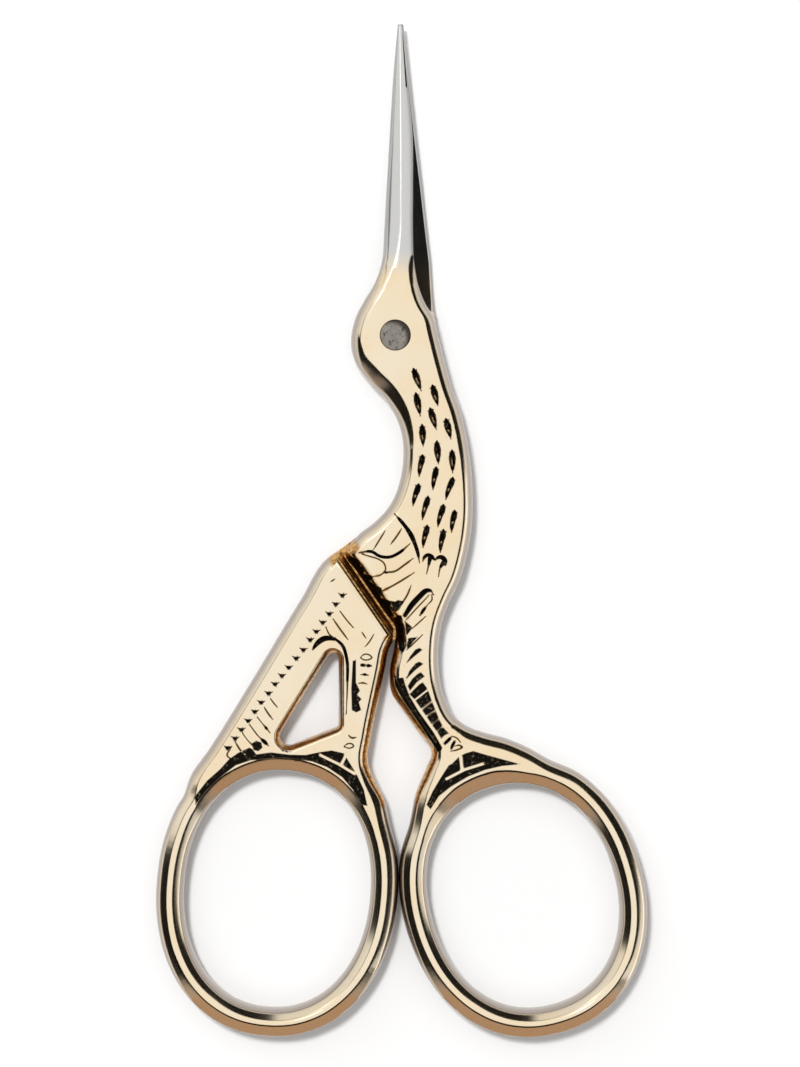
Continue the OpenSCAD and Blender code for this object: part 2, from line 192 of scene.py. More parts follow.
# Patches sunk all over, by their corners; the material paints them near black as shade
SUNK = {
    "wing": [
        [(-4.2, -19.62), (-3.2, -21.08), (-2.2, -22.52), (-1.3, -23.8), (-0.5, -24.85), (-0.15, -24.6),
         (-0.45, -23.9),
         (-0.3, -23.4), (-0.75, -23.2), (-1.31, -23.05), (-1.15, -22.6), (-1.2, -22.2), (-1.6, -22),
         (-2.26, -21.6),
         (-1.95, -21.35), (-2.05, -21.1), (-2.4, -21), (-2.82, -20.95), (-2.65, -20.6), (-2.7, -20.35),
         (-3.05, -20.25),
         (-3.1, -19.85), (-3.3, -19.6), (-3.7, -19.5), (-4.1, -19.32)],
        [(-0.4, -23.35), (0, -23.4), (0.25, -23.25), (0.7, -23.35), (0.4, -23.8), (-0.05, -24.35),
         (-0.25, -23.9)]],
    "thigh": [
        [(-0.2, -25), (0.2, -24.55), (0.55, -24.62), (0.8, -25.6), (1, -26.8), (0.95, -27.5),
         (0.62, -27.9),
         (0.3, -27.6), (0.15, -26.6), (0, -25.6)],
        [(0.86, -25.1), (1.5, -25.65), (1.2, -26.1), (0.98, -26.35)],
        [(1.15, -26.6), (1.5, -26.55), (1.97, -26.5), (1.55, -26.95), (1.1, -27.6), (1, -27.2)],
        [(1.77, -27.6), (2.12, -27.45), (2.38, -27.62), (1.6, -28.25), (1.1, -28.7), (0.8, -29.05),
         (1.3, -28.2)],
        [(1.8, -28.8), (2.12, -28.66), (2.46, -28.85), (1.8, -29.35), (1.2, -29.95), (0.9, -30.3),
         (1.25, -29.45)],
        [(1.95, -29.75), (2.25, -29.58), (2.58, -29.95), (1.9, -30.45), (1.3, -31.2), (1.1, -30.8),
         (1.5, -30.15)],
        [(1.7, -31.05), (2.12, -30.64), (2.42, -30.47), (2.84, -31.04), (3.23, -32.15), (3.55, -32.95),
         (3.85, -33.7),
         (4.2, -34.4), (4.7, -34.95), (4.35, -35.1), (4.03, -35.4), (3.73, -34.87), (3.23, -34.2),
         (2.77, -33.5),
         (2.32, -32.85), (1.77, -32.05), (1.26, -31.5)],
        [(-0.15, -29.85), (0.25, -30.1), (0.71, -30.05), (0.85, -30.6), (1.25, -31.65), (2.05, -33.0),
         (3.4, -34.9),
         (4.13, -36.2), (4, -36.55), (3.7, -36.6), (1.82, -33.7), (0.61, -31.95), (-0.05, -30.75)],
        [(5, -37.6), (5.54, -37.05), (6.15, -36.7), (6.85, -36.5), (7.86, -36.8), (9.87, -37.35),
         (10.95, -37.65),
         (9.37, -37.8), (7.86, -38.15), (6.35, -38.75), (4.84, -39.65), (3.83, -40.45), (3.1, -41.6),
         (2.75, -41.2),
         (3.3, -40), (3.9, -39), (4.34, -38.3), (4.7, -37.75)]],
    "tail": [
        [(-17.6, -40.5), (-16.5, -39.1), (-15.37, -38.1), (-14.56, -37.2), (-13.76, -36.65),
         (-12.8, -36.2),
         (-12.5, -36.35), (-12.2, -36.8), (-10.9, -36.62), (-9.3, -36.82), (-7.85, -36.85),
         (-6.65, -36.6),
         (-5.57, -36.45), (-4.5, -36.7), (-3.96, -37.6), (-3.4, -38.5), (-2.75, -39.9), (-2.45, -41.3),
         (-3, -41.2), (-3.7, -39.9), (-4.63, -38.8), (-5.97, -37.9), (-7.3, -37.4), (-8.66, -37.2),
         (-10, -37.1),
         (-12.7, -37.3), (-14, -37.75), (-15.37, -38.8), (-16.5, -39.9), (-17.5, -41.2)],
        [(-12.6, -35.85), (-12.2, -35.6), (-11.75, -35.75), (-11.65, -36.2), (-12, -36.5),
         (-12.4, -36.4)],
        [(-3.72, -28.6), (-3.45, -28.5), (-3.45, -30.5), (-3.1, -31.2), (-3.35, -31.55), (-2.95, -31.95),
         (-3.2, -32.2),
         (-3, -32.9), (-3.4, -33.1), (-3.8, -32.9), (-3.85, -31)]]}
# Bars left standing in the sunk patches: width, then the points that they follow
STANDING = {
    "thigh": [
        (0.1, [(0.6, -24.8), (0.78, -26), (0.86, -27.6)]), (0.26, [(2.84, -31.14), (1.75, -32)]),
        (0.24, [(3.22, -32.15), (2.32, -32.85)]), (0.22, [(3.52, -32.95), (2.8, -33.4)]),
        (0.2, [(3.85, -33.66), (3.28, -34.15)]), (0.2, [(4.2, -34.35), (3.75, -34.7)]),
        (0.1, [(0.1, -30.2), (0.75, -31.5), (1.6, -32.9), (2.6, -34.3), (3.6, -35.8)]),
        (0.4, [(4.49, -38.95), (6.1, -38.12), (7.76, -37.6)]), (0.46, [(5.75, -37.05), (5.85, -38)]),
        (0.1, [(3.2, -41.2), (3.7, -40), (4.3, -39.1)])],
    "tail": [
        (0.4, [(-6.58, -36.85), (-5, -37.62), (-3.56, -38.5)]), (0.42, [(-4.3, -36.8), (-4.7, -37.65)]),
        (0.1, [(-13.5, -36.5), (-13, -37)])]}
TAIL_PUNCHES = [
    (-4.63, -22.83), (-5.2, -23.6), (-5.77, -24.45), (-6.35, -25.2), (-6.91, -26), (-7.45, -26.72),
    (-8.05, -27.6), (-8.68, -28.35), (-9.33, -29.15), (-9.93, -29.87), (-10.54, -30.61), (-11.1, -31.42),
    (-11.75, -32.22), (-12.31, -33.03), (-12.89, -33.83), (-13.49, -34.61), (-14.03, -35.38),
    (-14.7, -36.2)]


def smooth_curve(points, steps):
    """Curve through rows of numbers, straight on at both ends, as the solids' outlines are drawn."""
    p = np.array(points, float)
    last = len(p) - 1

    def heading(i):
        if i == 0 or i == last:
            d = p[1] - p[0] if i == 0 else p[i] - p[i - 1]
            return d / np.linalg.norm(d)
        a, b = p[i] - p[i - 1], p[i + 1] - p[i]
        la, lb = np.linalg.norm(a), np.linalg.norm(b)
        return (a / la * lb + b / lb * la) / (la + lb)

    rows = []
    for i in range(last):
        length = np.linalg.norm(p[i + 1] - p[i])
        m, n = heading(i) * length, heading(i + 1) * length
        for t in np.arange(steps) / steps:
            rows.append(p[i] * (2 * t ** 3 - 3 * t * t + 1) + m * (t ** 3 - 2 * t * t + t)
                        + p[i + 1] * (3 * t * t - 2 * t ** 3) + n * (t ** 3 - t * t))
    return np.array(rows + [p[last]])


def spread(loop, gap, closed=True):
    """Adds points until no two neighbours lie further apart than gap."""
    ends = np.roll(loop, -1, axis=0) if closed else loop[1:]
    rows = []
    for a, b in zip(loop, ends):
        n = max(1, math.ceil(np.linalg.norm(b[:2] - a[:2]) / gap))
        rows += [a + (b - a) * k / n for k in range(n)]
    return np.array(rows if closed else rows + [loop[-1]])


def oval_ring(hole, grow, angles):
    u = np.radians(angles)
    c, s, e = np.cos(u), np.sin(u), 2 / OVAL
    x = (hole["half"][0] + grow) * np.sign(c) * np.abs(c) ** e
    y = (hole["half"][1] + grow) * np.sign(s) * np.abs(s) ** e
    a = math.radians(hole["lean"])
    return np.stack([hole["centre"][0] + x * math.cos(a) - y * math.sin(a),
                     hole["centre"][1] + x * math.sin(a) + y * math.cos(a)], axis=1)


def widened(loop, past_x, by):
    """Adds to each point of a finger hole how much wider its upper edge slopes, left of a given place."""
    up = -normals_of(loop)[:, 1]
    wide = by * np.clip((past_x - loop[:, 0]) / 2.5, 0, 1) * np.clip(up * 2 - 0.6, 0, 1)
    return np.column_stack([loop, wide])


def rounded_corners(corners, steps=8):
    rows = []
    for i, (x, y, r) in enumerate(corners):
        p = np.array((x, y))
        a, b = np.array(corners[i - 1][:2]) - p, np.array(corners[(i + 1) % len(corners)][:2]) - p
        a, b = a / np.linalg.norm(a), b / np.linalg.norm(b)
        mid = (a + b) / np.linalg.norm(a + b)
        half = math.acos(a @ b) / 2
        centre = p + mid * r / math.sin(half)
        start = math.atan2(-mid[1], -mid[0]) - (math.pi / 2 - half)
        for k in range(steps + 1):
            t = start + 2 * (math.pi / 2 - half) * k / steps
            rows.append(centre + r * np.array((math.cos(t), math.sin(t))))
    return np.array(rows)


def normals_of(loop):
    """Unit normals of a closed loop, to the left of its direction."""
    d = np.roll(loop, -1, axis=0) - np.roll(loop, 1, axis=0)
    d /= np.linalg.norm(d, axis=1)[:, None]
    return np.stack([-d[:, 1], d[:, 0]], axis=1)


# Steep lower part of a chamfered edge, as a share of the edge's width
FOOT = 0.36
# How much smaller that share is on an edge that looks down the scissors, and how far that edge leans
BROW = 0.27
BROW_LEAN = 0.7


class Loop:
    """One closed edge of the metal, with normals into the metal and the edge's shape at each point."""

    def __init__(self, points, width, chamfer, lean):
        count = len(points)
        self.points, self.lean = points, lean
        self.normals = normals_of(points)
        self.width, self.chamfer = np.full(count, 1.0) * width, np.full(count, 1.0) * chamfer
        self.foot = FOOT - BROW * np.clip(self.normals[:, 1] * 2 - 0.6, 0, 1)
        fine = spread(np.column_stack([points, self.width, self.chamfer, self.foot]), 0.03)
        self.fine, self.shape, self.fine_normals = fine[:, :2], fine[:, 2:], normals_of(fine[:, :2])
        self.tree = kdtree.KDTree(len(fine))
        for i, p in enumerate(fine):
            self.tree.insert((p[0], p[1], 0), i)
        self.tree.balance()

    def inside_by(self, points):
        """How far points lie inside the metal from this edge, with its width, chamfer and foot there."""
        out = np.empty((len(points), 4))
        for i, p in enumerate(points):
            _, k, d = self.tree.find((p[0], p[1], 0))
            n = self.fine_normals[k]
            inward = (p[0] - self.fine[k][0]) * n[0] + (p[1] - self.fine[k][1]) * n[1]
            out[i, 0] = d if inward >= 0 else -d
            out[i, 1:] = self.shape[k]
        return out

    def rise(self, inside, height):
        """Height of the edge over its wall, at rows from inside_by."""
        d, width, chamfer, foot = inside.T
        plain = height * rounding(d / width)
        brow = (FOOT - foot) / BROW
        lean = self.lean + (BROW_LEAN - self.lean) * brow
        return plain + chamfer * (leaning(d, width, height, width * foot, lean, 0, 4 + 7 * brow) - plain)


class Cut:
    """A tool mark: a line of varying width, deepest in its middle. Raised ones stand up in a cut."""

    def __init__(self, points, widths, depth=0.5, raised=False):
        self.p = np.array(points, float)
        self.w = np.array(widths, float) / 2
        self.depth, self.raised = depth, raised
        reach = self.w.max() + 0.4
        self.low, self.high = self.p.min(axis=0) - reach, self.p.max(axis=0) + reach

    def near(self, points):
        return np.flatnonzero(((points >= self.low) & (points <= self.high)).all(axis=1))

    def measure(self, points):
        """Distance over half width, half width and distance past the rim, at each point."""
        ratio = np.full(len(points), 1e9)
        width = np.full(len(points), 1e-3)
        past = np.full(len(points), 1e9)
        for i in range(len(self.p) - 1):
            a, d = self.p[i], self.p[i + 1] - self.p[i]
            t = np.clip(((points - a) @ d) / (d @ d), 0, 1)
            dist = np.linalg.norm(points - a - t[:, None] * d, axis=1)
            w = np.maximum(self.w[i] + (self.w[i + 1] - self.w[i]) * t, 0.02)
            better = dist / w < ratio
            ratio, width = np.where(better, dist / w, ratio), np.where(better, w, width)
            past = np.minimum(past, dist - w)
        return ratio, width, past

    def rim(self, gap):
        """Points along both rims and the middle."""
        q = spread(np.column_stack([self.p, self.w]), gap, closed=False)
        d = np.gradient(q[:, :2], axis=0)
        d /= np.linalg.norm(d, axis=1)[:, None]
        n = np.stack([-d[:, 1], d[:, 0]], axis=1)
        w = np.maximum(q[:, 2:], 0.065)
        rows = [q[:, :2] + n * w * side for side in (0, 1, -1, 0.55, -0.55)]
        for e, s in ((0, -1), (-1, 1)):
            r = q[e, 2]
            steps = max(3, math.ceil(math.pi * r / gap))
            base = math.atan2(s * d[e][1], s * d[e][0])
            arc = base + np.linspace(-math.pi / 2, math.pi / 2, steps)
            rows.append(q[e, :2] + r * np.stack([np.cos(arc), np.sin(arc)], axis=1))
        return np.concatenate(rows)


class Patch:
    """A patch sunk to an even depth, with short steep walls."""

    raised = False
    depth = 0.12

    def __init__(self, corners):
        self.p = np.array(corners, float)
        self.low, self.high = self.p.min(axis=0) - 0.3, self.p.max(axis=0) + 0.3

    def near(self, points):
        return np.flatnonzero(((points >= self.low) & (points <= self.high)).all(axis=1))

    def inside(self, points):
        """Distance from the patch's rim, more than 0 inside it."""
        away = np.full(len(points), 1e9)
        odd = np.zeros(len(points), bool)
        x, y = points[:, 0], points[:, 1]
        for a, b in zip(self.p, np.roll(self.p, -1, axis=0)):
            d = b - a
            t = np.clip(((points - a) @ d) / (d @ d), 0, 1)
            away = np.minimum(away, np.linalg.norm(points - a - t[:, None] * d, axis=1))
            if a[1] != b[1]:
                odd ^= ((a[1] > y) != (b[1] > y)) & (x < d[0] * (y - a[1]) / d[1] + a[0])
        return np.where(odd, away, -away)

    def measure(self, points):
        past = -self.inside(points)
        return past, np.full(len(points), 1.0), past

    def rim(self, gap):
        loop = spread(self.p, gap)
        n = normals_of(loop)
        return np.concatenate([loop + n * k for k in (-0.06, 0, 0.06)])


def drop(x0, y0, x1, y1, leaf):
    """Feather mark on the neck with its raised sliver."""
    a, b = np.array((x0, y0)), np.array((x1, y1))
    d = b - a
    side = np.array((-d[1], d[0])) / np.linalg.norm(d)
    shape, sliver = (LEAF_SHAPE, LEAF_SLIVER) if leaf else (COMMA_SHAPE, COMMA_SLIVER)
    rows = [a + d * t + side * bow for t, bow, _ in shape]
    shine = [a + d * t + side * SLIVER_BOW for t in sliver]
    return [Cut(rows, [DROP_W * w for _, _, w in shape]), Cut(shine, SLIVER_WIDTHS, raised=True)]

def line(width, points):
    """Tool mark that tapers at both ends."""
    if len(points) > 2:
        q = smooth_curve(points, 4)
    else:
        a, b = np.array(points, float)
        q = np.array([a + (b - a) * t for t in (0, 0.25, 0.5, 0.75, 1)])
    t = np.linspace(0, 1, len(q))
    taper = np.minimum(1, LINE_END + 4 * np.minimum(t, 1 - t))
    return Cut(q, width * LINE_SWELL * taper, LINE_DEPTH)

def bold(points, widths):
    rows = smooth_curve(np.column_stack([points, widths]), 4)
    return Cut(rows[:, :2], rows[:, 2])


def cuts_of(*places):
    rows = [cut for i, d in enumerate(NECK_DROPS) for cut in drop(*d, i < LEAF_DROPS)]
    for place in places:
        rows += [line(w, p) for w, p in FINE_LINES[place]] + [bold(*c) for c in BOLD_CUTS[place]]
        rows += [Patch(c) for c in SUNK[place]]
        rows += [Cut(p, [w] * len(p), 1, raised=True) for w, p in STANDING.get(place, ())]
    return rows


def front_cuts():
    return cuts_of("wing", "thigh")


def back_cuts():
    cuts = cuts_of("tail")
    for x, y in TAIL_PUNCHES:
        hook = [(x - 0.3, y + 0.14), (x - 0.02, y - 0.04), (x + 0.08, y - 0.18)]
        cuts.append(Cut(hook, [0.1, 0.34, 0.1]))
        cuts.append(Cut([(x, y - 0.05), (x + 0.3, y + 0.1)], [0.3, 0.1]))
    return cuts


def carved_depth(cuts, points):
    """Depth cut away at each point, and how far it is a tool mark, from 0 to 1: the mask for the painted
    shade in the engraving.
    """
    deep = np.zeros(len(points))
    mark = np.zeros(len(points))
    for cut in sorted(cuts, key=lambda c: c.raised):
        near = cut.near(points)
        if not len(near):
            continue
        if isinstance(cut, Patch):
            inside = cut.inside(points[near])
            deep[near] = np.maximum(deep[near], cut.depth * np.clip(inside / 0.08, 0, 1))
            mark[near] = np.maximum(mark[near], np.clip(inside / 0.05 + 0.3, 0, 1))
            continue
        ratio, width, _ = cut.measure(points[near])
        bowl = np.clip(1 - ratio ** 2, 0, 1)
        if cut.raised:
            keep = 1 - np.clip((1 - ratio) / 0.35, 0, 1)
            deep[near] *= keep
            mark[near] *= keep
        else:
            deep[near] = np.maximum(deep[near], np.minimum(cut.depth * 2 * width, 0.42) * bowl)
            mark[near] = np.maximum(mark[near], np.clip(bowl * 4, 0, 1))
    return deep, mark


class Points:
    """Points of a flat mesh, none closer to another than its own gap."""

    CELL = 0.2

    def __init__(self):
        self.rows, self.cells = [], {}

    def add(self, points, gap):
        first = len(self.rows)
        for x, y in points:
            i, j = int(x // self.CELL), int(y // self.CELL)
            if gap and any((x - u) ** 2 + (y - v) ** 2 < gap * gap for a in (-1, 0, 1) for b in (-1, 0, 1)
                           for u, v in self.cells.get((i + a, j + b), ())):
                continue
            self.cells.setdefault((i, j), []).append((x, y))
            self.rows.append((x, y))
        return list(range(first, len(self.rows)))


def hexagons(low, high, gap):
    rows = []
    for j, y in enumerate(np.arange(low[1], high[1], gap * 0.866)):
        x = np.arange(low[0] + (j % 2) * gap / 2, high[0], gap)
        rows.append(np.stack([x, np.full(len(x), y)], axis=1))
    return np.concatenate(rows)


def blade_share(y):
    """How far a place is blade, from 0 in the head to 1."""
    return np.clip((y - BLADE_FROM) / (BLADE_WHOLE - BLADE_FROM), 0, 1)

def bevel_foot(wide, foot):
    """Width of the steep foot of a bevel that is so wide."""
    most, share = foot
    return np.minimum(most, wide * share)

class Forging:
    """One half of the scissors before it is cut to its lap: outline, holes, heights and engraving."""

    def __init__(self, sizes, blade, body, holes, spine_left, cuts):
        s = self.sizes = sizes
        self.layer = s["thickness"] / 2
        self.wall = self.layer - s["edge_h"]
        self.spine_left = spine_left
        self.cuts = cuts
        left = [(b[1], b[0], b[2], b[0]) for b in blade]
        right = [(b[4], b[0], b[3], b[0]) for b in reversed(blade)]
        whole = np.array([left[-1][:2]] + list(body) + [right[0][:2]], float)
        slopes = np.gradient(whole, axis=0)
        slopes /= np.linalg.norm(slopes, axis=1)[:, None]
        rims = whole + s["edge_w"] * np.stack([-slopes[:, 1], slopes[:, 0]], axis=1)
        middle = [(*whole[i], *rims[i]) for i in range(1, len(whole) - 1)]
        rows = spread(smooth_curve(left + middle + right, 6), s["spacing"])
        width, chamfer = edge_plan(rows[:, :2], s)
        self.loops = [Loop(rows[:, :2], width, chamfer, s["ring_lean"])]
        for hole, width, chamfer in holes:
            edge = spread(hole[::-1], s["spacing"])
            self.loops.append(Loop(edge[:, :2], width + edge[:, 2], chamfer, s["hole_lean"]))
        blade_rows = rows[:, 1] > SIDES_FROM
        n = int(np.argmax(~blade_rows))
        self.left_side = rows[:n][::-1]
        self.right_side = rows[len(rows) - int(np.argmax(~blade_rows[::-1])):]

    def rise(self, y):
        s = self.sizes
        thin = s["tip_t"] + (self.layer - s["tip_t"]) * (DRAWN_BLADE - y) / (DRAWN_BLADE - 3)
        return np.where(y < 3, self.layer, thin)

    def blade_x(self, y, side, column):
        return np.interp(y, side[:, 1], side[:, column])

    def height(self, p, depths):
        """Height of the outer face over the middle plane, before engraving."""
        s = self.sizes
        x, y = p[:, 0], p[:, 1]
        flat = blade_share(y)
        rise = self.rise(y)
        xl, fl = self.blade_x(y, self.left_side, 0), self.blade_x(y, self.left_side, 2)
        xr, fr = self.blade_x(y, self.right_side, 0), self.blade_x(y, self.right_side, 2)
        on_left = x < (fl + fr) / 2
        spine = s["spine_t"] if self.spine_left else BACK_SPINE_T
        keen = np.where(on_left == self.spine_left, spine, s["edge_t"])
        wall = (1 - flat) * self.wall + flat * np.minimum(keen, rise / 2)
        wide_l, wide_r = np.maximum(fl - xl, 0.05), np.maximum(xr - fr, 0.05)
        lean_l, lean_r = s["spine_lean"], s["edge_lean"]
        if not self.spine_left:
            lean_l, lean_r = lean_r, lean_l
        tall = rise - wall
        left = leaning(x - xl, wide_l, tall, bevel_foot(wide_l, LEFT_FOOT), lean_l, lean_l, 1)
        right = leaning(xr - x, wide_r, tall, bevel_foot(wide_r, RIGHT_FOOT), lean_r, lean_r * 0.5, 1)
        bevel = np.where(y > SIDES_FROM, np.minimum(left, right), tall)
        edge = (1 - flat) * tall / s["edge_h"] * self.loops[0].rise(depths[0], s["edge_h"])
        z = wall + edge + flat * bevel
        for d, loop in zip(depths[1:], self.loops[1:]):
            z = np.minimum(z, self.wall + loop.rise(d, s["edge_h"]))
        return z

    def depths(self, p):
        return [loop.inside_by(p) for loop in self.loops]

    def build(self, name):
        s = self.sizes
        steps = s["wall_steps"]
        rings = []
        for loop in self.loops:
            flat = np.zeros(len(loop.points))
            if loop is self.loops[0]:
                flat = blade_share(loop.points[:, 1])
            ring = []
            for k in range(steps + 1):
                inset = (1 - flat) * loop.width * s["start"] * (k / steps) ** 2 + flat * WALL_LEAN * k / steps
                ring.append((loop.points + loop.normals * inset[:, None], inset))
            rings.append(ring)
        flat_mesh = Points()
        loops_at = [flat_mesh.add(ring[-1][0], 0) for ring in rings]
        edges = []
        for side, foot_size in ((self.left_side, LEFT_FOOT), (self.right_side, RIGHT_FOOT)):
            for i, share in enumerate(BEVEL_ROWS):
                lowest = RIDGE_FROM if share == 2 else BEVEL_FROM
                rows = side[(side[:, 1] > lowest) & (side[:, 1] < DRAWN_BLADE - 0.15)]
                wide = np.abs(rows[:, 2] - rows[:, 0])
                foot = bevel_foot(wide, foot_size)
                inset = foot * share if share <= 1 else foot + (wide - foot) * (share - 1)
                rim = (1 - blade_share(rows[:, 1])) * self.loops[0].width.max() * s["start"]
                t = (np.maximum(inset, rim + 0.05 + 0.015 * i) / wide)[:, None]
                at = flat_mesh.add(rows[:, :2] * (1 - t) + rows[:, 2:4] * t, 0)
                edges += list(zip(at[:-1], at[1:]))
        low = self.loops[0].points.min(axis=0)
        high = self.loops[0].points.max(axis=0)

        def clear_of_edges(points, least):
            keep = np.ones(len(points), bool)
            for loop in self.loops:
                d, width = loop.inside_by(points).T[:2]
                limit = width * s["start"] + least
                if loop is self.loops[0]:
                    flat = blade_share(points[:, 1])
                    limit = (1 - flat) * limit + flat * (WALL_LEAN + least)
                keep &= d > limit
            return points[keep]

        marks = np.concatenate([c.rim(s["fine"]) for c in self.cuts])
        flat_mesh.add(clear_of_edges(marks, 0.06), s["fine"] * 0.5)
        fine = hexagons(low, high, s["fine"])
        near = np.full(len(fine), 1e9)
        for c in self.cuts:
            at = c.near(fine)
            near[at] = np.minimum(near[at], c.measure(fine[at])[2])
        fine = fine[near < 0.22]
        flat_mesh.add(clear_of_edges(fine, 0.06), s["fine"] * 0.7)
        for loop in self.loops:
            start = loop.width * s["start"]
            for k in range(1, 8):
                inset = start + (loop.width - start) * k / 7
                ring = loop.points + loop.normals * inset[:, None]
                true = loop.inside_by(ring)[:, 0]
                ring = ring[true > inset - 0.02]
                if loop is self.loops[0]:
                    ring = ring[ring[:, 1] < 6.5]
                gap = min(0.1, loop.width.min() * (1 - s["start"]) / 8)
                flat_mesh.add(clear_of_edges(ring, 0.07), gap)
        rough = hexagons(low, high, s["rough"])
        flat_mesh.add(clear_of_edges(rough, 0.3), s["rough"] * 0.4)
        verts = [Vector(p) for p in flat_mesh.rows]
        out, _, faces, from_verts, _, from_faces = geometry.delaunay_2d_cdt(
            verts, edges, [loops_at[0]] + [ids[::-1] for ids in loops_at[1:]], 1, 1e-5)
        place = {}
        for i, sources in enumerate(from_verts):
            for k in sources:
                place[k] = i
        faces = [f for f, source in zip(faces, from_faces) if len(source) == 1 and source[0] == 0]
        cap = np.array([(v.x, v.y) for v in out])
        deep, mark = carved_depth(self.cuts, cap)
        z = self.height(cap, self.depths(cap)) - deep
        points, marked = [], []
        for side in (1, -1):
            points.append(np.column_stack([cap, self.layer + side * z]))
            marked.append(mark)
        n = len(cap)
        polygons = [list(f) for f in faces] + [[n + i for i in reversed(f)] for f in faces]
        at = 2 * n
        for loop, ring, ids in zip(self.loops, rings, loops_at):
            m = len(loop.points)
            levels = []
            for side in (1, -1):
                rows = []
                for k in range(steps):
                    xy, inset = ring[k]
                    own = np.column_stack([inset, loop.width, loop.chamfer, loop.foot])
                    far = np.tile((9.0, 1.0, 0.0, FOOT), (m, 1))
                    depths = [own if other is loop else far for other in self.loops]
                    zk = self.height(xy, depths)
                    deep, mark = carved_depth(self.cuts, xy)
                    zk = zk - deep * (k / steps)
                    points.append(np.column_stack([xy, self.layer + side * zk]))
                    marked.append(mark * (k / steps))
                    rows.append(list(range(at, at + m)))
                    at += m
                rows.append([place[i] + (0 if side > 0 else n) for i in ids])
                levels.append(rows)
            stack = levels[1][::-1] + levels[0]
            for a, b in zip(stack[:-1], stack[1:]):
                for i in range(m):
                    j = (i + 1) % m
                    polygons.append([a[i], a[j], b[j], b[i]])
        points = np.concatenate(points) * MM
        mesh = bpy.data.meshes.new(name)
        mesh.from_pydata(points.tolist(), [], polygons)
        # Mask for the painted shade in the engraving
        layer = mesh.attributes.new("engraved", "FLOAT", "POINT")
        layer.data.foreach_set("value", np.concatenate(marked).astype(np.float32))
        mesh.validate()
        mesh.update()
        return link(name, mesh)


def rounding(t):
    """Height of a rounded edge, from 0 at the wall to 1 at the flat."""
    return np.sqrt(np.clip(1 - (1 - np.clip(t, 0, 1)) ** 2, 0, 1))


def leaning(d, width, height, steep, low, top, bend):
    """Height at distance d from a wall: a steep rounded foot, then a face that leans from low to top."""
    run = width - steep
    v = np.clip((d - steep) / run, 0, 1)
    face = run * (low * (1 - v) + (top - low) * (1 - v ** (bend + 1)) / (bend + 1))
    foot = height - run * (low + (top - low) / (bend + 1))
    u = np.clip(d / steep, 0, 1)
    return np.where(d < steep, (foot - low * steep) * rounding(u) + low * steep * u, height - face)


def edge_plan(points, sizes):
    """Width of the outer edge along the outline, and how far it is a chamfer instead of a rounding."""
    x, y = points.T
    # Both rings, with the shoulder where the right-hand one starts
    ring = np.clip(np.maximum((-37.5 - y) / 3, np.where(y < -33.8, (x - 4) / 2.5, 0)), 0, 1)
    # Throat, on the left under the head
    along = np.clip((-0.5 - y) / 9.5, 0, 1)
    throat = np.where((x < 2) & (y > -10), np.sin(math.pi * along) ** 0.7, 0)
    # Nape, on the right
    nape = np.where(x > 2.5, np.clip((y + 14) / 4, 0, 1) * np.clip(1.5 - y / 2, 0, 1), 0)
    width = sizes["edge_w"] + 0.05 * ring + 0.35 * throat
    return width, np.maximum(np.maximum(ring, throat), 0.5 * nape)


def link(name, mesh):
    ob = bpy.data.objects.new(name, mesh)
    bpy.context.scene.collection.objects.link(ob)
    return ob


def only(ob):
    bpy.ops.object.select_all(action="DESELECT")
    ob.select_set(True)
    bpy.context.view_layer.objects.active = ob
    return ob


def cut_away(ob, cutter):
    """Takes the cutter's space out of a piece, and removes the cutter."""
    only(ob)
    before = len(ob.data.vertices)
    m = ob.modifiers.new("cut", "BOOLEAN")
    m.operation, m.solver, m.object = "DIFFERENCE", "MANIFOLD", cutter
    bpy.ops.object.modifier_apply(modifier=m.name)
    if len(ob.data.vertices) == before:
        raise RuntimeError(f"{cutter.name} cut nothing from {ob.name}")
    mesh = cutter.data
    bpy.data.objects.remove(cutter)
    bpy.data.meshes.remove(mesh)


def outward(ob):
    only(ob)
    bpy.ops.object.mode_set(mode="EDIT")
    bpy.ops.mesh.select_all(action="SELECT")
    bpy.ops.mesh.remove_doubles(threshold=1e-7)
    bpy.ops.mesh.normals_make_consistent(inside=False)
    bpy.ops.object.mode_set(mode="OBJECT")
    return ob


def lap_cutter(line, side, sizes, gap, ridges=0):
    """Takes one layer away on the left of a line. What stays gets a rounded edge with fine ridges."""
    length = 160
    a, b = np.array(line[0], float), np.array(line[1], float)
    d = (b - a) / np.linalg.norm(b - a)
    n = np.array((-d[1], d[0]))
    start = a - d * length / 2 + n * gap
    r, layer = sizes["step_r"] + (0.15 if ridges else 0), sizes["thickness"] / 2
    floor = -sizes["lap_gap"] / 2
    top = layer + 1
    profile = [(60, floor), (0, floor), (0, layer - r)]
    for t in np.radians(np.arange(4.5, 90, 4.5)):
        sunk = r - ridges * (0.5 - 0.5 * math.cos(t * 20))
        profile.append((-r + sunk * math.cos(t), layer - r + sunk * math.sin(t)))
    profile += [(-r, layer), (-r, top), (60, top)]
    rows = [(*(start + n * u), layer + side * v) for u, v in profile]
    mesh = bpy.data.meshes.new("step_cutter")
    mesh.from_pydata([[c * MM for c in row] for row in rows], [], [list(range(len(rows)))])
    ob = only(link("step_cutter", mesh))
    bpy.ops.object.mode_set(mode="EDIT")
    bpy.ops.mesh.select_all(action="SELECT")
    bpy.ops.mesh.extrude_region_move(TRANSFORM_OT_translate={"value": (*(d * length * MM), 0)})
    bpy.ops.object.mode_set(mode="OBJECT")
    return outward(ob)


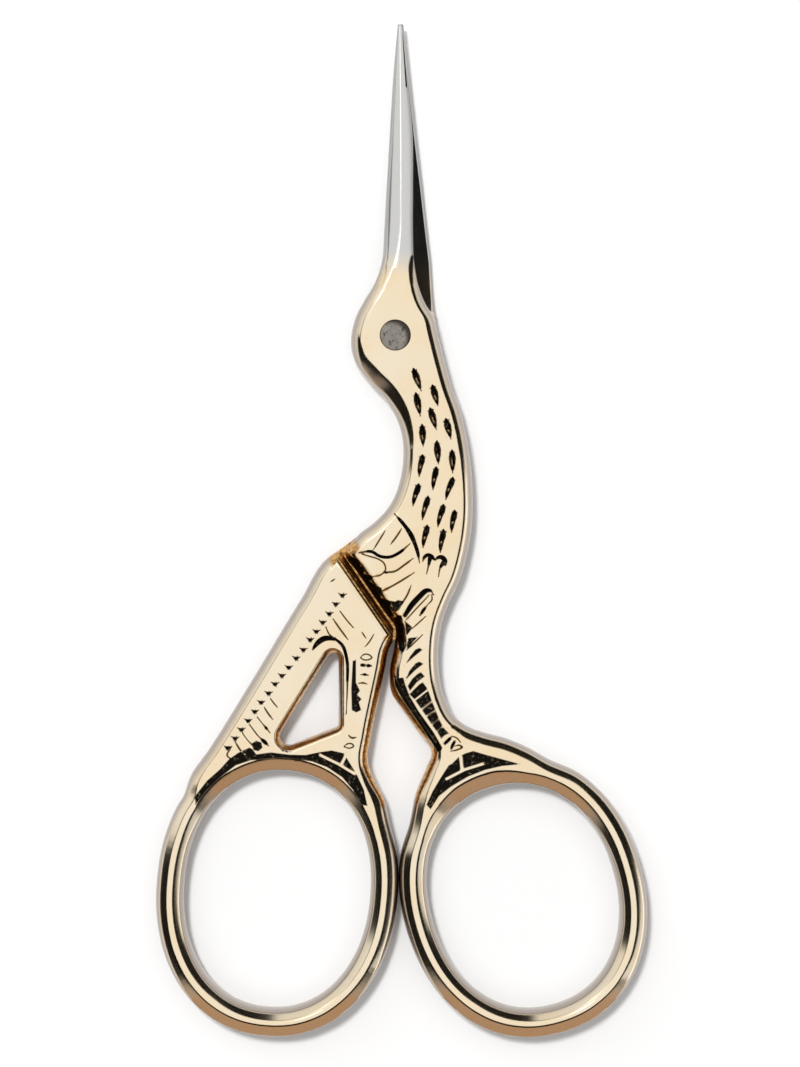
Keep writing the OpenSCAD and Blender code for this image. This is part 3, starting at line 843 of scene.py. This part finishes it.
def box_cutter(corners, low, high):
    """Block over a four-cornered patch, from one height to another."""
    bpy.ops.object.select_all(action="DESELECT")
    bpy.ops.mesh.primitive_cube_add(size=2)
    ob = bpy.context.object
    for v, (x, y, z) in zip(ob.data.vertices, [(v.co.x, v.co.y, v.co.z) for v in ob.data.vertices]):
        c = corners[{(-1, -1): 0, (-1, 1): 1, (1, 1): 2, (1, -1): 3}[(round(x), round(y))]]
        v.co = (c[0] * MM, c[1] * MM, (high if z > 0 else low) * MM)
    return outward(ob)


def facet_cutter(layer, lean=0.5, rim=0.13):
    """Grinds the lower blade's inner face down towards its spine, with a narrow steeper rim along it."""
    points, polygons = [], []
    for y, x, out in FACET:
        low = layer - lean * max(out - rim - x, 0.02)
        past, deep, top = out + 0.3, low - (rim + 0.3) * 1.7, layer + 1
        points += [(x, y, layer), (out - rim, y, low), (past, y, deep), (past, y, top), (x, y, top)]
    rows = len(points) // 5
    for r in range(rows - 1):
        for k in range(5):
            polygons.append([5 * r + k, 5 * r + (k + 1) % 5, 5 * r + 5 + (k + 1) % 5, 5 * r + 5 + k])
    polygons += [[0, 1, 2, 3, 4], [5 * rows - 5 + k for k in (4, 3, 2, 1, 0)]]
    mesh = bpy.data.meshes.new("facet_cutter")
    mesh.from_pydata([[c * MM for c in p] for p in points], [], polygons)
    return outward(link("facet_cutter", mesh))


def turned(name, profile, steps=96):
    """Solid turned on the rivet's axis from a profile of radii and heights, as on a lathe."""
    mesh = bpy.data.meshes.new(name)
    edges = [(i, i + 1) for i in range(len(profile) - 1)]
    mesh.from_pydata([(r * MM, 0, z * MM) for r, z in profile], edges, [])
    ob = only(link(name, mesh))
    bpy.ops.object.mode_set(mode="EDIT")
    bpy.ops.mesh.select_all(action="SELECT")
    bpy.ops.mesh.spin(steps=steps, angle=2 * math.pi, center=(0, 0, 0), axis=(0, 0, 1))
    bpy.ops.object.mode_set(mode="OBJECT")
    return outward(ob)


def rivet_profile(sizes, gap, over=0):
    head, shank, h, t = sizes["head_d"] / 2, sizes["shank_d"] / 2, sizes["head_h"], sizes["thickness"]
    rows = [(0, -over)]
    if over:
        rows.append((head + gap, -over))
    rows += [(head + gap, 0), (shank + gap, h + gap), (shank + gap, t - h - gap), (head + gap, t)]
    if over:
        rows.append((head + gap, t + over))
    return rows + [(0, t + over)]


def mark_walls(ob, grooves, facing):
    """Notes where the metal's sides stand steep, for their painted shade, and where they face other gold
    closely, for a painted warm reflection.
    """
    mesh = ob.data
    n = len(mesh.vertices)
    at, normal = np.empty(n * 3), np.empty(n * 3)
    mesh.vertices.foreach_get("co", at)
    mesh.vertex_normals.foreach_get("vector", normal)
    at, nz = at.reshape(n, 3)[:, :2] / MM, np.abs(normal.reshape(n, 3)[:, 2])
    # Painted shade: steep sides, whose normals lean far from up, get the darker shaded side colours
    steep = np.clip((0.88 - nz) / 0.3, 0, 1)
    # Painted reflection and shade: walls near the step, or close to and facing other gold, get a deep warm
    # gold
    amber = np.zeros(n)
    for paths, reach, tilt in ((grooves, 1.6, 0.985), (facing, 0.8, 0.8)):
        for path in paths:
            past = Cut(path, [0.04] * len(path)).measure(at)[2]
            close = np.clip((reach - past) / 0.3, 0, 1)
            amber = np.maximum(amber, close * np.clip((tilt - nz) / 0.06, 0, 1))
    for name, values in (("wall", steep), ("amber", amber)):
        layer = mesh.attributes.new(name, "FLOAT", "POINT")
        layer.data.foreach_set("value", values.astype(np.float32))


def finish(ob, material, body, slot, *nodes):
    """Smooths a piece by angle, gives it its finish and hangs it on its moving body."""
    only(ob)
    bpy.ops.object.shade_smooth_by_angle(angle=math.radians(24))
    ob.data.materials.clear()
    ob.data.materials.append(material)
    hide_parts(*nodes)
    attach(ob, body)
    return ob


# Materials


def nodes_of(tree):
    nodes, links = tree.nodes, tree.links

    def node(kind, inputs=None, **settings):
        n = nodes.new(kind)
        for k, v in settings.items():
            setattr(n, k, v)
        for k, v in (inputs or {}).items():
            if isinstance(v, bpy.types.NodeSocket):
                links.new(v, n.inputs[k])
            else:
                n.inputs[k].default_value = v
        return n

    return node


def group(name, inputs, outputs):
    tree = bpy.data.node_groups.new(name, "ShaderNodeTree")
    for label, kind, value in inputs:
        socket = tree.interface.new_socket(label, in_out="INPUT", socket_type=kind)
        if value is not None:
            socket.default_value = value
    for label, kind in outputs:
        tree.interface.new_socket(label, in_out="OUTPUT", socket_type=kind)
    node = nodes_of(tree)
    return tree, node, node("NodeGroupInput"), node("NodeGroupOutput")


def polish_group():
    """Fine random hairlines and soft waves that polishing leaves on metal."""
    tree, node, gin, out = group(
        "Polish marks",
        [("Vector", "NodeSocketVector", None), ("Hairlines", "NodeSocketFloat", 0.5),
         ("Waves", "NodeSocketFloat", 0.5)],
        [("Mask", "NodeSocketFloat"), ("Height", "NodeSocketFloat")])
    stretch = node("ShaderNodeMapping", {"Vector": gin.outputs["Vector"], "Rotation": (0, 0, 0.5),
        "Scale": (1, 0.12, 1)})
    hair = node("ShaderNodeTexNoise", {"Vector": stretch.outputs[0], "Scale": 5200.0, "Detail": 3.0,
        "Roughness": 0.6})
    wave = node("ShaderNodeTexNoise", {"Vector": gin.outputs["Vector"], "Scale": 420.0, "Detail": 3.0,
        "Roughness": 0.5})
    a = node("ShaderNodeMath", {0: hair.outputs["Fac"], 1: gin.outputs["Hairlines"]},
        operation="MULTIPLY")
    b = node("ShaderNodeMath", {0: wave.outputs["Fac"], 1: gin.outputs["Waves"]}, operation="MULTIPLY")
    total = node("ShaderNodeMath", {0: a.outputs[0], 1: b.outputs[0]}, operation="ADD")
    tree.links.new(total.outputs[0], out.inputs["Height"])
    tree.links.new(hair.outputs["Fac"], out.inputs["Mask"])
    return tree


def edge_group():
    """Where the gold plating ends on the blades: a wavering line across them."""
    tree, node, gin, out = group(
        "Plating edge",
        [("Vector", "NodeSocketVector", None), ("Line", "NodeSocketFloat", 0.006),
         ("Softness", "NodeSocketFloat", 0.001)],
        [("Bare", "NodeSocketFloat")])
    xyz = node("ShaderNodeSeparateXYZ", {"Vector": gin.outputs["Vector"]})
    noise = node("ShaderNodeTexNoise", {"Vector": gin.outputs["Vector"], "Scale": 700.0, "Detail": 4.0,
        "Roughness": 0.6})
    shake = node("ShaderNodeMath", {0: noise.outputs["Fac"], 1: 0.0012, 2: -0.0006},
        operation="MULTIPLY_ADD")
    y = node("ShaderNodeMath", {0: xyz.outputs["Y"], 1: shake.outputs[0]}, operation="ADD")
    past = node("ShaderNodeMath", {0: y.outputs[0], 1: gin.outputs["Line"]}, operation="SUBTRACT")
    t = node("ShaderNodeMath", {0: past.outputs[0], 1: gin.outputs["Softness"]}, operation="DIVIDE",
        use_clamp=True)
    tree.links.new(t.outputs[0], out.inputs["Bare"])
    return tree


def made_once(name, make, looks):
    """A finish that several pieces may share, made for the first of them."""
    return bpy.data.materials.get(name) or make(looks)

def shared(name, make):
    return bpy.data.node_groups.get(name) or make()


def new_material(name):
    m = bpy.data.materials.new(name)
    m.use_nodes = True
    m.node_tree.nodes.clear()
    node = nodes_of(m.node_tree)
    shader = node("ShaderNodeBsdfPrincipled")
    out = node("ShaderNodeOutputMaterial")
    m.node_tree.links.new(shader.outputs[0], out.inputs[0])
    return m, node, shader


def mix_colour(node, t, a, b):
    m = node("ShaderNodeMix", data_type="RGBA")
    tree = m.id_data
    for socket, value in ((m.inputs[0], t), (m.inputs[6], a), (m.inputs[7], b)):
        if isinstance(value, bpy.types.NodeSocket):
            tree.links.new(value, socket)
        else:
            socket.default_value = value
    return m.outputs[2]


def mix_value(node, t, a, b):
    return node("ShaderNodeMapRange", {0: t, 3: a, 4: b}).outputs[0]


def forging_material(looks):
    """Gold plate with painted shade in its engraving and on its steep sides, a painted warm reflection where
    gold faces gold, and bare ground steel on the blade.
    """
    m, node, shader = new_material("engraved_gold_plate")
    tree = m.node_tree
    at = node("ShaderNodeTexCoord").outputs["Object"]
    polish = node("ShaderNodeGroup", node_tree=shared("Polish marks", polish_group))
    polish.inputs["Hairlines"].default_value = 0.35
    polish.inputs["Waves"].default_value = 1.0
    edge = node("ShaderNodeGroup", node_tree=shared("Plating edge", edge_group))
    edge.inputs["Line"].default_value = looks.plating_line
    edge.inputs["Softness"].default_value = 0.0022
    for g in (polish, edge):
        tree.links.new(at, g.inputs["Vector"])
    cloud = node("ShaderNodeTexNoise", {"Vector": at, "Scale": 160.0, "Detail": 4.0, "Roughness": 0.6})
    clouds = node("ShaderNodeMapRange", {0: cloud.outputs["Fac"], 1: 0.4, 2: 0.66}).outputs[0]
    gold = mix_colour(node, clouds, (*looks.gold, 1), (*looks.deep_gold, 1))
    specks = node("ShaderNodeTexNoise", {"Vector": at, "Scale": 2300.0, "Detail": 3.0, "Roughness": 0.7})
    specks = node("ShaderNodeMapRange", {0: specks.outputs["Fac"], 1: 0.68, 2: 0.76, 4: 0.45}).outputs[0]
    gold = mix_colour(node, specks, gold, (*looks.amber, 1))
    # Painted shade: steep sides are darker and greyer than the flats, in gold and in steel
    wall = node("ShaderNodeAttribute", attribute_name="wall").outputs["Fac"]
    # Painted reflection and shade: a deep warm gold, darker in streaks, where gold walls face other gold
    amber = node("ShaderNodeAttribute", attribute_name="amber").outputs["Fac"]
    streaks = node("ShaderNodeMapping", {"Vector": at, "Rotation": (0, 0, math.radians(55.5)),
        "Scale": (0.06, 1, 1)})
    streaks = node("ShaderNodeTexNoise", {"Vector": streaks.outputs[0], "Scale": 3600.0, "Detail": 2.0})
    streaks = node("ShaderNodeMapRange", {0: streaks.outputs["Fac"], 1: 0.38, 2: 0.62})
    gold = mix_colour(node, wall, gold, (*looks.shaded_side_gold, 1))
    warm = mix_colour(node, streaks.outputs[0], tuple(c * 0.4 for c in looks.amber) + (1,),
        (*looks.amber, 1))
    gold = mix_colour(node, amber, gold, warm)
    steel = mix_colour(node, wall, (*looks.steel, 1), (*looks.shaded_side_steel, 1))
    metal = mix_colour(node, edge.outputs["Bare"], gold, steel)
    # Painted shade: the engraving is painted near black, and noise spots left a little less dark are painted
    # glints
    carved = node("ShaderNodeAttribute", attribute_name="engraved")
    glints = node("ShaderNodeTexNoise", {"Vector": at, "Scale": 3800.0, "Detail": 2.0, "Roughness": 0.6})
    glints = node("ShaderNodeMapRange", {0: glints.outputs["Fac"], 1: 0.58, 2: 0.7}).outputs[0]
    glints = mix_value(node, glints, 1.0, 0.84)
    dark = node("ShaderNodeMath", {0: carved.outputs["Fac"], 1: glints}, operation="MULTIPLY",
        use_clamp=True)
    colour = mix_colour(node, dark.outputs[0], metal, (*looks.dark_pits_and_shade, 1))
    tree.links.new(colour, shader.inputs["Base Color"])
    shader.inputs["Metallic"].default_value = 1.0
    rough = mix_value(node, polish.outputs["Mask"], 0.1, 0.15)
    rough = mix_value(node, wall, rough, 0.24)
    rough = mix_value(node, edge.outputs["Bare"], rough, 0.14)
    rough = mix_value(node, dark.outputs[0], rough, 0.42)
    tree.links.new(rough, shader.inputs["Roughness"])
    bump = node("ShaderNodeBump", {"Height": polish.outputs["Height"], "Strength": 0.25,
        "Distance": 0.000012})
    tree.links.new(bump.outputs[0], shader.inputs["Normal"])
    return m


def rivet_material(looks):
    m, node, shader = new_material("turned_rivet_steel")
    tree = m.node_tree
    at = node("ShaderNodeTexCoord").outputs["Object"]
    polish = node("ShaderNodeGroup", node_tree=shared("Polish marks", polish_group))
    polish.inputs["Hairlines"].default_value = 0.4
    polish.inputs["Waves"].default_value = 0.8
    tree.links.new(at, polish.inputs["Vector"])
    cloud = node("ShaderNodeTexNoise", {"Vector": at, "Scale": 900.0, "Detail": 5.0, "Roughness": 0.65})
    colour = mix_colour(node, cloud.outputs["Fac"], (*looks.rivet, 1),
        tuple(c * 0.42 for c in looks.rivet) + (1,))
    pits = node("ShaderNodeTexNoise", {"Vector": at, "Scale": 2600.0, "Detail": 2.0, "Roughness": 0.6})
    pits = node("ShaderNodeMapRange", {0: pits.outputs["Fac"], 1: 0.55, 2: 0.68, 4: 0.85}).outputs[0]
    # Painted shade: a dark crescent past 1.2 mm from a point just lower left of the rivet's axis, so along
    # its upper right rim
    flat = node("ShaderNodeVectorMath", {0: at, 1: (1, 1, 0)}, operation="MULTIPLY")
    away = node("ShaderNodeVectorMath", {0: flat.outputs[0], 1: (-0.0004, -0.0003, 0)},
        operation="DISTANCE")
    crescent = node("ShaderNodeMapRange", {0: away.outputs["Value"], 1: 0.0012, 2: 0.00155,
        4: 0.8}).outputs[0]
    # Real dark pits together with the painted shade of the crescent
    pits_and_painted_shade = node("ShaderNodeMath", {0: pits, 1: crescent}, operation="MAXIMUM").outputs[0]
    colour = mix_colour(node, pits_and_painted_shade, colour, (*looks.dark_pits_and_shade, 1))
    tree.links.new(colour, shader.inputs["Base Color"])
    shader.inputs["Metallic"].default_value = 1.0
    tree.links.new(mix_value(node, cloud.outputs["Fac"], 0.22, 0.4), shader.inputs["Roughness"])
    bump = node("ShaderNodeBump", {"Height": cloud.outputs["Fac"], "Strength": 0.5, "Distance": 0.00003})
    tree.links.new(bump.outputs[0], shader.inputs["Normal"])
    return m


# What every colour that a user would change has in common
COLOUR = {"subtype": "COLOR", "size": 3, "min": 0, "max": 1}
# Gaps between points along the edges, at tool marks and on the flats, rows of points up a wall, and the share
# of an edge's width where they end
DRAWING = {"spacing": 0.25, "fine": 0.11, "rough": 0.8, "wall_steps": 6, "start": 0.28}
# Lean of the chamfers round the outline and in the finger holes, and of the blades' bevels at the back and
# at the cutting edge
LEANS = {"ring_lean": 0.58, "hole_lean": 0.66, "spine_lean": 0.27, "edge_lean": 0.41}
# Height of the wall along the lower blade's back
BACK_SPINE_T = 0.9

# Sizes and colours that a user would change


class ScissorSizes(bpy.types.PropertyGroup):
    thickness: bpy.props.FloatProperty(name="Thickness",
        description="Thickness of the closed scissors, in mm", default=4, min=3, max=5)
    lap_gap: bpy.props.FloatProperty(name="Lap gap",
        description="Gap between the two flat inner faces, in mm", default=0.05, min=0.02, max=0.1)
    edge_w: bpy.props.FloatProperty(name="Edge width",
        description="Width of the rounded outer edges seen from above, in mm", default=1.15, min=0.8,
        max=1.15)
    edge_h: bpy.props.FloatProperty(name="Edge height", description="Height of the rounded edges, in mm",
        default=1.6, min=1, max=1.7)
    hole_edge_w: bpy.props.FloatProperty(name="Hole edge width",
        description="Width of the rounded edges in the finger holes, in mm", default=1.15, min=0.6,
        max=1.2)
    window_edge_w: bpy.props.FloatProperty(name="Window edge width",
        description="Width of the rounded edges in the tail's window, in mm", default=0.6, min=0.2,
        max=0.7)
    tip_t: bpy.props.FloatProperty(name="Tip thickness",
        description="Thickness of each blade at its tip, in mm", default=0.4, min=0.3, max=0.8)
    spine_t: bpy.props.FloatProperty(name="Spine height",
        description="Height of the narrow wall along each blade's back, in mm", default=0.35, min=0.2,
        max=0.5)
    edge_t: bpy.props.FloatProperty(name="Cutting edge height",
        description="Height left on each cutting edge, in mm", default=0.08, min=0.05, max=0.15)
    step_r: bpy.props.FloatProperty(name="Step rounding",
        description="Radius of the rounded edge along both steps, in mm", default=1, min=0.5, max=1.4)
    step_gap: bpy.props.FloatProperty(name="Step gap",
        description="Gap between each half and the step cut in the other, in mm", default=0.15, min=0.05,
        max=0.3)
    shank_d: bpy.props.FloatProperty(name="Rivet shank",
        description="Diameter of the rivet's shank, in mm", default=1.7, min=1.4, max=2)
    head_d: bpy.props.FloatProperty(name="Rivet head",
        description="Diameter of the rivet's flush heads, in mm", default=2.7, min=2.4, max=3.4)
    head_h: bpy.props.FloatProperty(name="Rivet head depth",
        description="Depth of the rivet's flush heads, in mm", default=0.6, min=0.4, max=0.9)
    rivet_gap: bpy.props.FloatProperty(name="Rivet clearance",
        description="Clearance all round the rivet, in mm", default=0.02, min=0.01, max=0.05)

    def table(self):
        """All sizes by name, those that a user doesn't change among them."""
        names = (
            "thickness", "lap_gap", "edge_w", "edge_h", "hole_edge_w", "window_edge_w", "tip_t", "spine_t",
            "edge_t", "step_r", "step_gap", "shank_d", "head_d", "head_h", "rivet_gap")
        return {**{n: getattr(self, n) for n in names}, **DRAWING, **LEANS}

class ScissorLooks(bpy.types.PropertyGroup):
    gold: bpy.props.FloatVectorProperty(name="Gold", description="Pale gold of the plating",
        default=(0.91, 0.79, 0.6), **COLOUR)
    deep_gold: bpy.props.FloatVectorProperty(name="Deep gold",
        description="Slightly deeper gold in soft clouds", default=(0.91, 0.74, 0.5), **COLOUR)
    # Painted shade: darker, greyer gold on the forgings' steep sides
    shaded_side_gold: bpy.props.FloatVectorProperty(name="Side gold",
        description="Duller plating on the forgings' steep sides", default=(0.42, 0.365, 0.32), **COLOUR)
    # Painted reflection and shade on gold walls that face other gold; the random specks also take this colour
    # as a tint
    amber: bpy.props.FloatVectorProperty(name="Amber",
        description="Deep gold where two gilded sides face each other", default=(0.74, 0.42, 0.15),
        **COLOUR)
    steel: bpy.props.FloatVectorProperty(name="Blade steel",
        description="Bare ground steel of the blades", default=(0.64, 0.635, 0.62), **COLOUR)
    # Painted shade: darker steel on the blades' steep backs and sides
    shaded_side_steel: bpy.props.FloatVectorProperty(name="Side steel",
        description="Duller steel on the blades' narrow backs", default=(0.36, 0.355, 0.345), **COLOUR)
    rivet: bpy.props.FloatVectorProperty(name="Rivet steel", description="Duller steel of the rivet",
        default=(0.42, 0.39, 0.34), **COLOUR)
    # Painted shade in the engraving and on the rivet's upper right rim, and the real dark of the rivet's pits
    dark_pits_and_shade: bpy.props.FloatVectorProperty(name="Engraving",
        description="Dark colour in the engraved lines", default=(0.01, 0.008, 0.006), **COLOUR)
    table: bpy.props.FloatVectorProperty(name="Table", description="Pale table under the scissors",
        default=(0.72, 0.72, 0.72), **COLOUR)
    near_side: bpy.props.FloatVectorProperty(name="Near side",
        description="Warm surroundings on the near side, seen only in the gold",
        default=(0.5, 0.34, 0.235), **COLOUR)
    plating_line: bpy.props.FloatProperty(name="Plating ends",
        description="Distance from the rivet up the blades to where the gold ends", unit="LENGTH",
        default=0.0052, min=0, max=0.02)


def step_points(ts):
    a, b = np.array(FRONT_STEP[0]), np.array(FRONT_STEP[1])
    return [tuple(a + (b - a) * t) for t in ts]


def moved(line, gap):
    a, b = np.array(line[0], float), np.array(line[1], float)
    d = (b - a) / np.linalg.norm(b - a)
    return [tuple(p + gap * np.array((-d[1], d[0]))) for p in (a, b)]


class SCISSORS_OT_front_half(bpy.types.Operator):
    """Forge, engrave and lap the half with the upper blade, the legs and the right-hand ring"""
    bl_idname = "scissors.front_half"
    bl_label = "Front half"

    def execute(self, context):
        s = context.scene.scissor_sizes.table()
        body = ([(-3.5, 1.6)] + HEAD_LEFT + step_points((0, 0.2, 0.5, 0.8, 1)) + LEG_LEFT
                + [tuple(p) for p in oval_ring(RIGHT_HOLE, RING_W, np.arange(136, 422, 15))]
                + LEG_RIGHT + NECK_RIGHT + [(3.4, 1.6)])
        hole = widened(oval_ring(RIGHT_HOLE, 0, np.arange(0, 360, 2)), 11.5, 0.4)
        half = Forging(s, FRONT_BLADE, body, [(hole, s["hole_edge_w"], 1)], True, front_cuts())
        ob = half.build("front_forging")
        cut_away(ob, lap_cutter(BACK_STEP, -1, s, 0))
        cut_away(ob, turned("rivet_cutter", rivet_profile(s, s["rivet_gap"], 1)))
        mark_walls(ob, [FRONT_STEP], [LEG_LEFT])
        plate = made_once("engraved_gold_plate", forging_material, context.scene.scissor_looks)
        finish(ob, plate, "front", "gold_plated_steel", "front_half")
        return {"FINISHED"}


class SCISSORS_OT_back_half(bpy.types.Operator):
    """Forge, engrave and lap the half with the lower blade, the tail and the left-hand ring"""
    bl_idname = "scissors.back_half"
    bl_label = "Back half"

    def execute(self, context):
        s = context.scene.scissor_sizes.table()
        body = ([(-3.1, 1.6)] + HEAD_LEFT + TAIL_LEFT
                + [tuple(p) for p in oval_ring(LEFT_HOLE, RING_W, np.arange(150, 391, 15))]
                + TAIL_RIGHT + moved(BACK_STEP, s["step_gap"]) + NECK_RIGHT + [(3.5, 1.6)])
        hole = widened(oval_ring(LEFT_HOLE, 0, np.arange(0, 360, 2)), 0, 0.1)
        window = widened(rounded_corners(WINDOW), 0, 0)
        holes = [(hole, s["hole_edge_w"], 1), (window, s["window_edge_w"], 0)]
        ob = Forging(s, BACK_BLADE, body, holes, False, back_cuts()).build("back_forging")
        cut_away(ob, lap_cutter(FRONT_STEP, 1, s, -s["step_gap"], 0.03))
        side = moved((FRONT_STEP[1], LEG_LEFT[0]), -s["step_gap"])
        layer = s["thickness"] / 2
        patch = [side[1], side[0], (side[0][0] + 1, side[0][1]), (side[1][0] + 1, side[1][1])]
        cut_away(ob, box_cutter(patch, layer - s["lap_gap"] / 2, layer * 2 + 1))
        cut_away(ob, turned("rivet_cutter", rivet_profile(s, s["rivet_gap"], 1)))
        cut_away(ob, facet_cutter(layer))
        mark_walls(ob, [FRONT_STEP], [TAIL_RIGHT, window[:, :2]])
        plate = made_once("engraved_gold_plate", forging_material, context.scene.scissor_looks)
        finish(ob, plate, "back", "gold_plated_steel", "back_half")
        return {"FINISHED"}


class SCISSORS_OT_rivet(bpy.types.Operator):
    """Turn the flush steel rivet in the stork's eye"""
    bl_idname = "scissors.rivet"
    bl_label = "Rivet"

    def execute(self, context):
        s = context.scene.scissor_sizes.table()
        head, shank, h, t = s["head_d"] / 2, s["shank_d"] / 2, s["head_h"], s["thickness"]
        radii = np.linspace(0, head - 0.1, 60)
        ripple = 0.01 * (1 + np.cos(radii * 2 * math.pi / 0.21)) * (radii > 0)
        low = [(r, z) for r, z in zip(radii, ripple)] + [(head - 0.04, 0.12), (head, 0.14)]
        profile = low + [(shank, h)] + [(r, t - z) for r, z in ([(shank, h)] + low[::-1])]
        ob = turned("pivot_rivet_turned", profile, 128)
        bare = made_once("turned_rivet_steel", rivet_material, context.scene.scissor_looks)
        finish(ob, bare, "back", "rivet_steel", "pivot_rivet")
        return {"FINISHED"}


class SCISSORS_OT_stage(bpy.types.Operator):
    """Lay the pale table, hang the soft lights and set the camera over the scissors"""
    bl_idname = "scissors.stage"
    bl_label = "Table, lights and camera"

    def execute(self, context):
        looks = context.scene.scissor_looks
        bpy.ops.object.select_all(action="DESELECT")
        bpy.ops.mesh.primitive_plane_add(size=6, location=(0, 0, 0))
        table = context.object
        table.name = "table"
        table.location.z = -0.00002
        m = bpy.data.materials.new("table")
        m.use_nodes = True
        m.node_tree.nodes.clear()
        node = nodes_of(m.node_tree)
        rays = node("ShaderNodeLightPath")
        seen = node("ShaderNodeMath", {0: rays.outputs["Is Camera Ray"],
            1: rays.outputs["Is Glossy Ray"]}, operation="ADD", use_clamp=True)
        seen = node("ShaderNodeMath", {0: seen.outputs[0], 1: rays.outputs["Is Transmission Ray"]},
            operation="ADD", use_clamp=True)
        paper = node("ShaderNodeBsdfDiffuse", {"Color": (*looks.table, 1)})
        glow = node("ShaderNodeMath", {0: seen.outputs[0], 1: 0.06}, operation="MULTIPLY")
        light = node("ShaderNodeEmission", {"Color": (1, 1, 1, 1), "Strength": glow.outputs[0]})
        both = node("ShaderNodeAddShader", {0: paper.outputs[0], 1: light.outputs[0]})
        out = node("ShaderNodeOutputMaterial", {0: both.outputs[0]})
        table.data.materials.append(m)

        def softbox(name, azimuth, elevation, distance, size, level):
            a, e = math.radians(azimuth), math.radians(elevation)
            at = Vector((math.cos(a) * math.cos(e), math.sin(a) * math.cos(e), math.sin(e)))
            lamp = bpy.data.lights.new(name, "AREA")
            lamp.shape = "RECTANGLE"
            lamp.size, lamp.size_y = size
            lamp.energy = level * math.pi * size[0] * size[1]
            ob = bpy.data.objects.new(name, lamp)
            ob.location = at * distance
            ob.rotation_euler = at.to_track_quat("Z", "Y").to_euler()
            context.scene.collection.objects.link(ob)
            return ob

        softbox("overhead_softbox", 90, 89.9, 0.5, (0.88, 0.88), 0.97)
        softbox("right_softbox", -17, 14, 0.7, (0.54, 0.32), 0.85)
        softbox("glint_softbox", 128, 67, 0.7, (0.1, 0.1), 1.9)
        softbox("key_softbox", 128, 75, 0.7, (0.09, 0.09), 150).visible_glossy = False

        world = bpy.data.worlds.new("studio")
        context.scene.world = world
        world.use_nodes = True
        world.node_tree.nodes.clear()
        node = nodes_of(world.node_tree)
        way = node("ShaderNodeTexCoord").outputs["Generated"]
        xyz = node("ShaderNodeSeparateXYZ", {0: way})
        near = node("ShaderNodeMapRange", {0: xyz.outputs["Y"], 1: -0.55, 2: -0.72}).outputs[0]
        rim = mix_colour(node, near, (0.9, 0.9, 0.9, 1), (*looks.near_side, 1))
        up = node("ShaderNodeMapRange", {0: xyz.outputs["Z"], 1: 0.2, 2: 0.3}).outputs[0]
        near_up = node("ShaderNodeMapRange", {0: xyz.outputs["Z"], 1: 0.37, 2: 0.43}).outputs[0]
        colour = mix_colour(node, mix_value(node, near, up, near_up), rim, (0.008, 0.007, 0.006, 1))
        level = node("ShaderNodeVectorMath", {0: way, 1: (1, 1, 0)}, operation="MULTIPLY").outputs[0]
        level = node("ShaderNodeVectorMath", {0: level}, operation="NORMALIZE").outputs[0]
        a = math.radians(WALL_AZIMUTH)
        facing = node("ShaderNodeVectorMath", {0: level, 1: (math.cos(a), math.sin(a), 0)},
            operation="DOT_PRODUCT")
        white_wall = node("ShaderNodeMapRange", {0: facing.outputs["Value"], 1: 0.74, 2: 0.8}).outputs[0]
        under = node("ShaderNodeMapRange", {0: xyz.outputs["Z"], 1: 0.7, 2: 0.62}).outputs[0]
        white_wall = node("ShaderNodeMath", {0: white_wall, 1: under}, operation="MULTIPLY").outputs[0]
        colour = mix_colour(node, white_wall, colour, (0.88, 0.88, 0.88, 1))
        back = node("ShaderNodeBackground", {"Color": colour, "Strength": 1.0})
        node("ShaderNodeOutputWorld", {0: back.outputs[0]})

        camera = bpy.data.cameras.new("camera")
        camera.sensor_fit, camera.sensor_height, camera.lens = "VERTICAL", 36, 120
        camera.clip_start, camera.clip_end = 0.01, 20
        ob = bpy.data.objects.new("camera", camera)
        ob.location = (0.42 * MM, -17.41 * MM, 4 * MM + 93.6 * MM / 36 * 120)
        context.scene.collection.objects.link(ob)
        context.scene.camera = ob
        context.scene.view_settings.view_transform = "Standard"
        return {"FINISHED"}


class SCISSORS_PT_panel(bpy.types.Panel):
    bl_idname = "SCISSORS_PT_panel"
    bl_label = "Stork scissors"
    bl_space_type = "VIEW_3D"
    bl_region_type = "UI"
    bl_category = "Scissors"

    def draw(self, context):
        for group_name in ("scissor_sizes", "scissor_looks"):
            settings = getattr(context.scene, group_name)
            box = self.layout.box()
            for name in settings.__annotations__:
                box.prop(settings, name)
        for step in STEPS:
            self.layout.operator(step)


# Middle of the studio's white wall, round from +X
WALL_AZIMUTH = 131

STEPS = ("scissors.front_half", "scissors.back_half", "scissors.rivet", "scissors.stage")
CLASSES = (ScissorSizes, ScissorLooks, SCISSORS_OT_front_half, SCISSORS_OT_back_half, SCISSORS_OT_rivet,
           SCISSORS_OT_stage, SCISSORS_PT_panel)


def register():
    for c in CLASSES:
        bpy.utils.register_class(c)
    bpy.types.Scene.scissor_sizes = bpy.props.PointerProperty(type=ScissorSizes)
    bpy.types.Scene.scissor_looks = bpy.props.PointerProperty(type=ScissorLooks)


def unregister():
    del bpy.types.Scene.scissor_looks
    del bpy.types.Scene.scissor_sizes
    for c in reversed(CLASSES):
        bpy.utils.unregister_class(c)


def main():
    register()
    for step in STEPS:
        area, name = step.split(".")
        getattr(getattr(bpy.ops, area), name)()


if __name__ == "__main__":
    main()
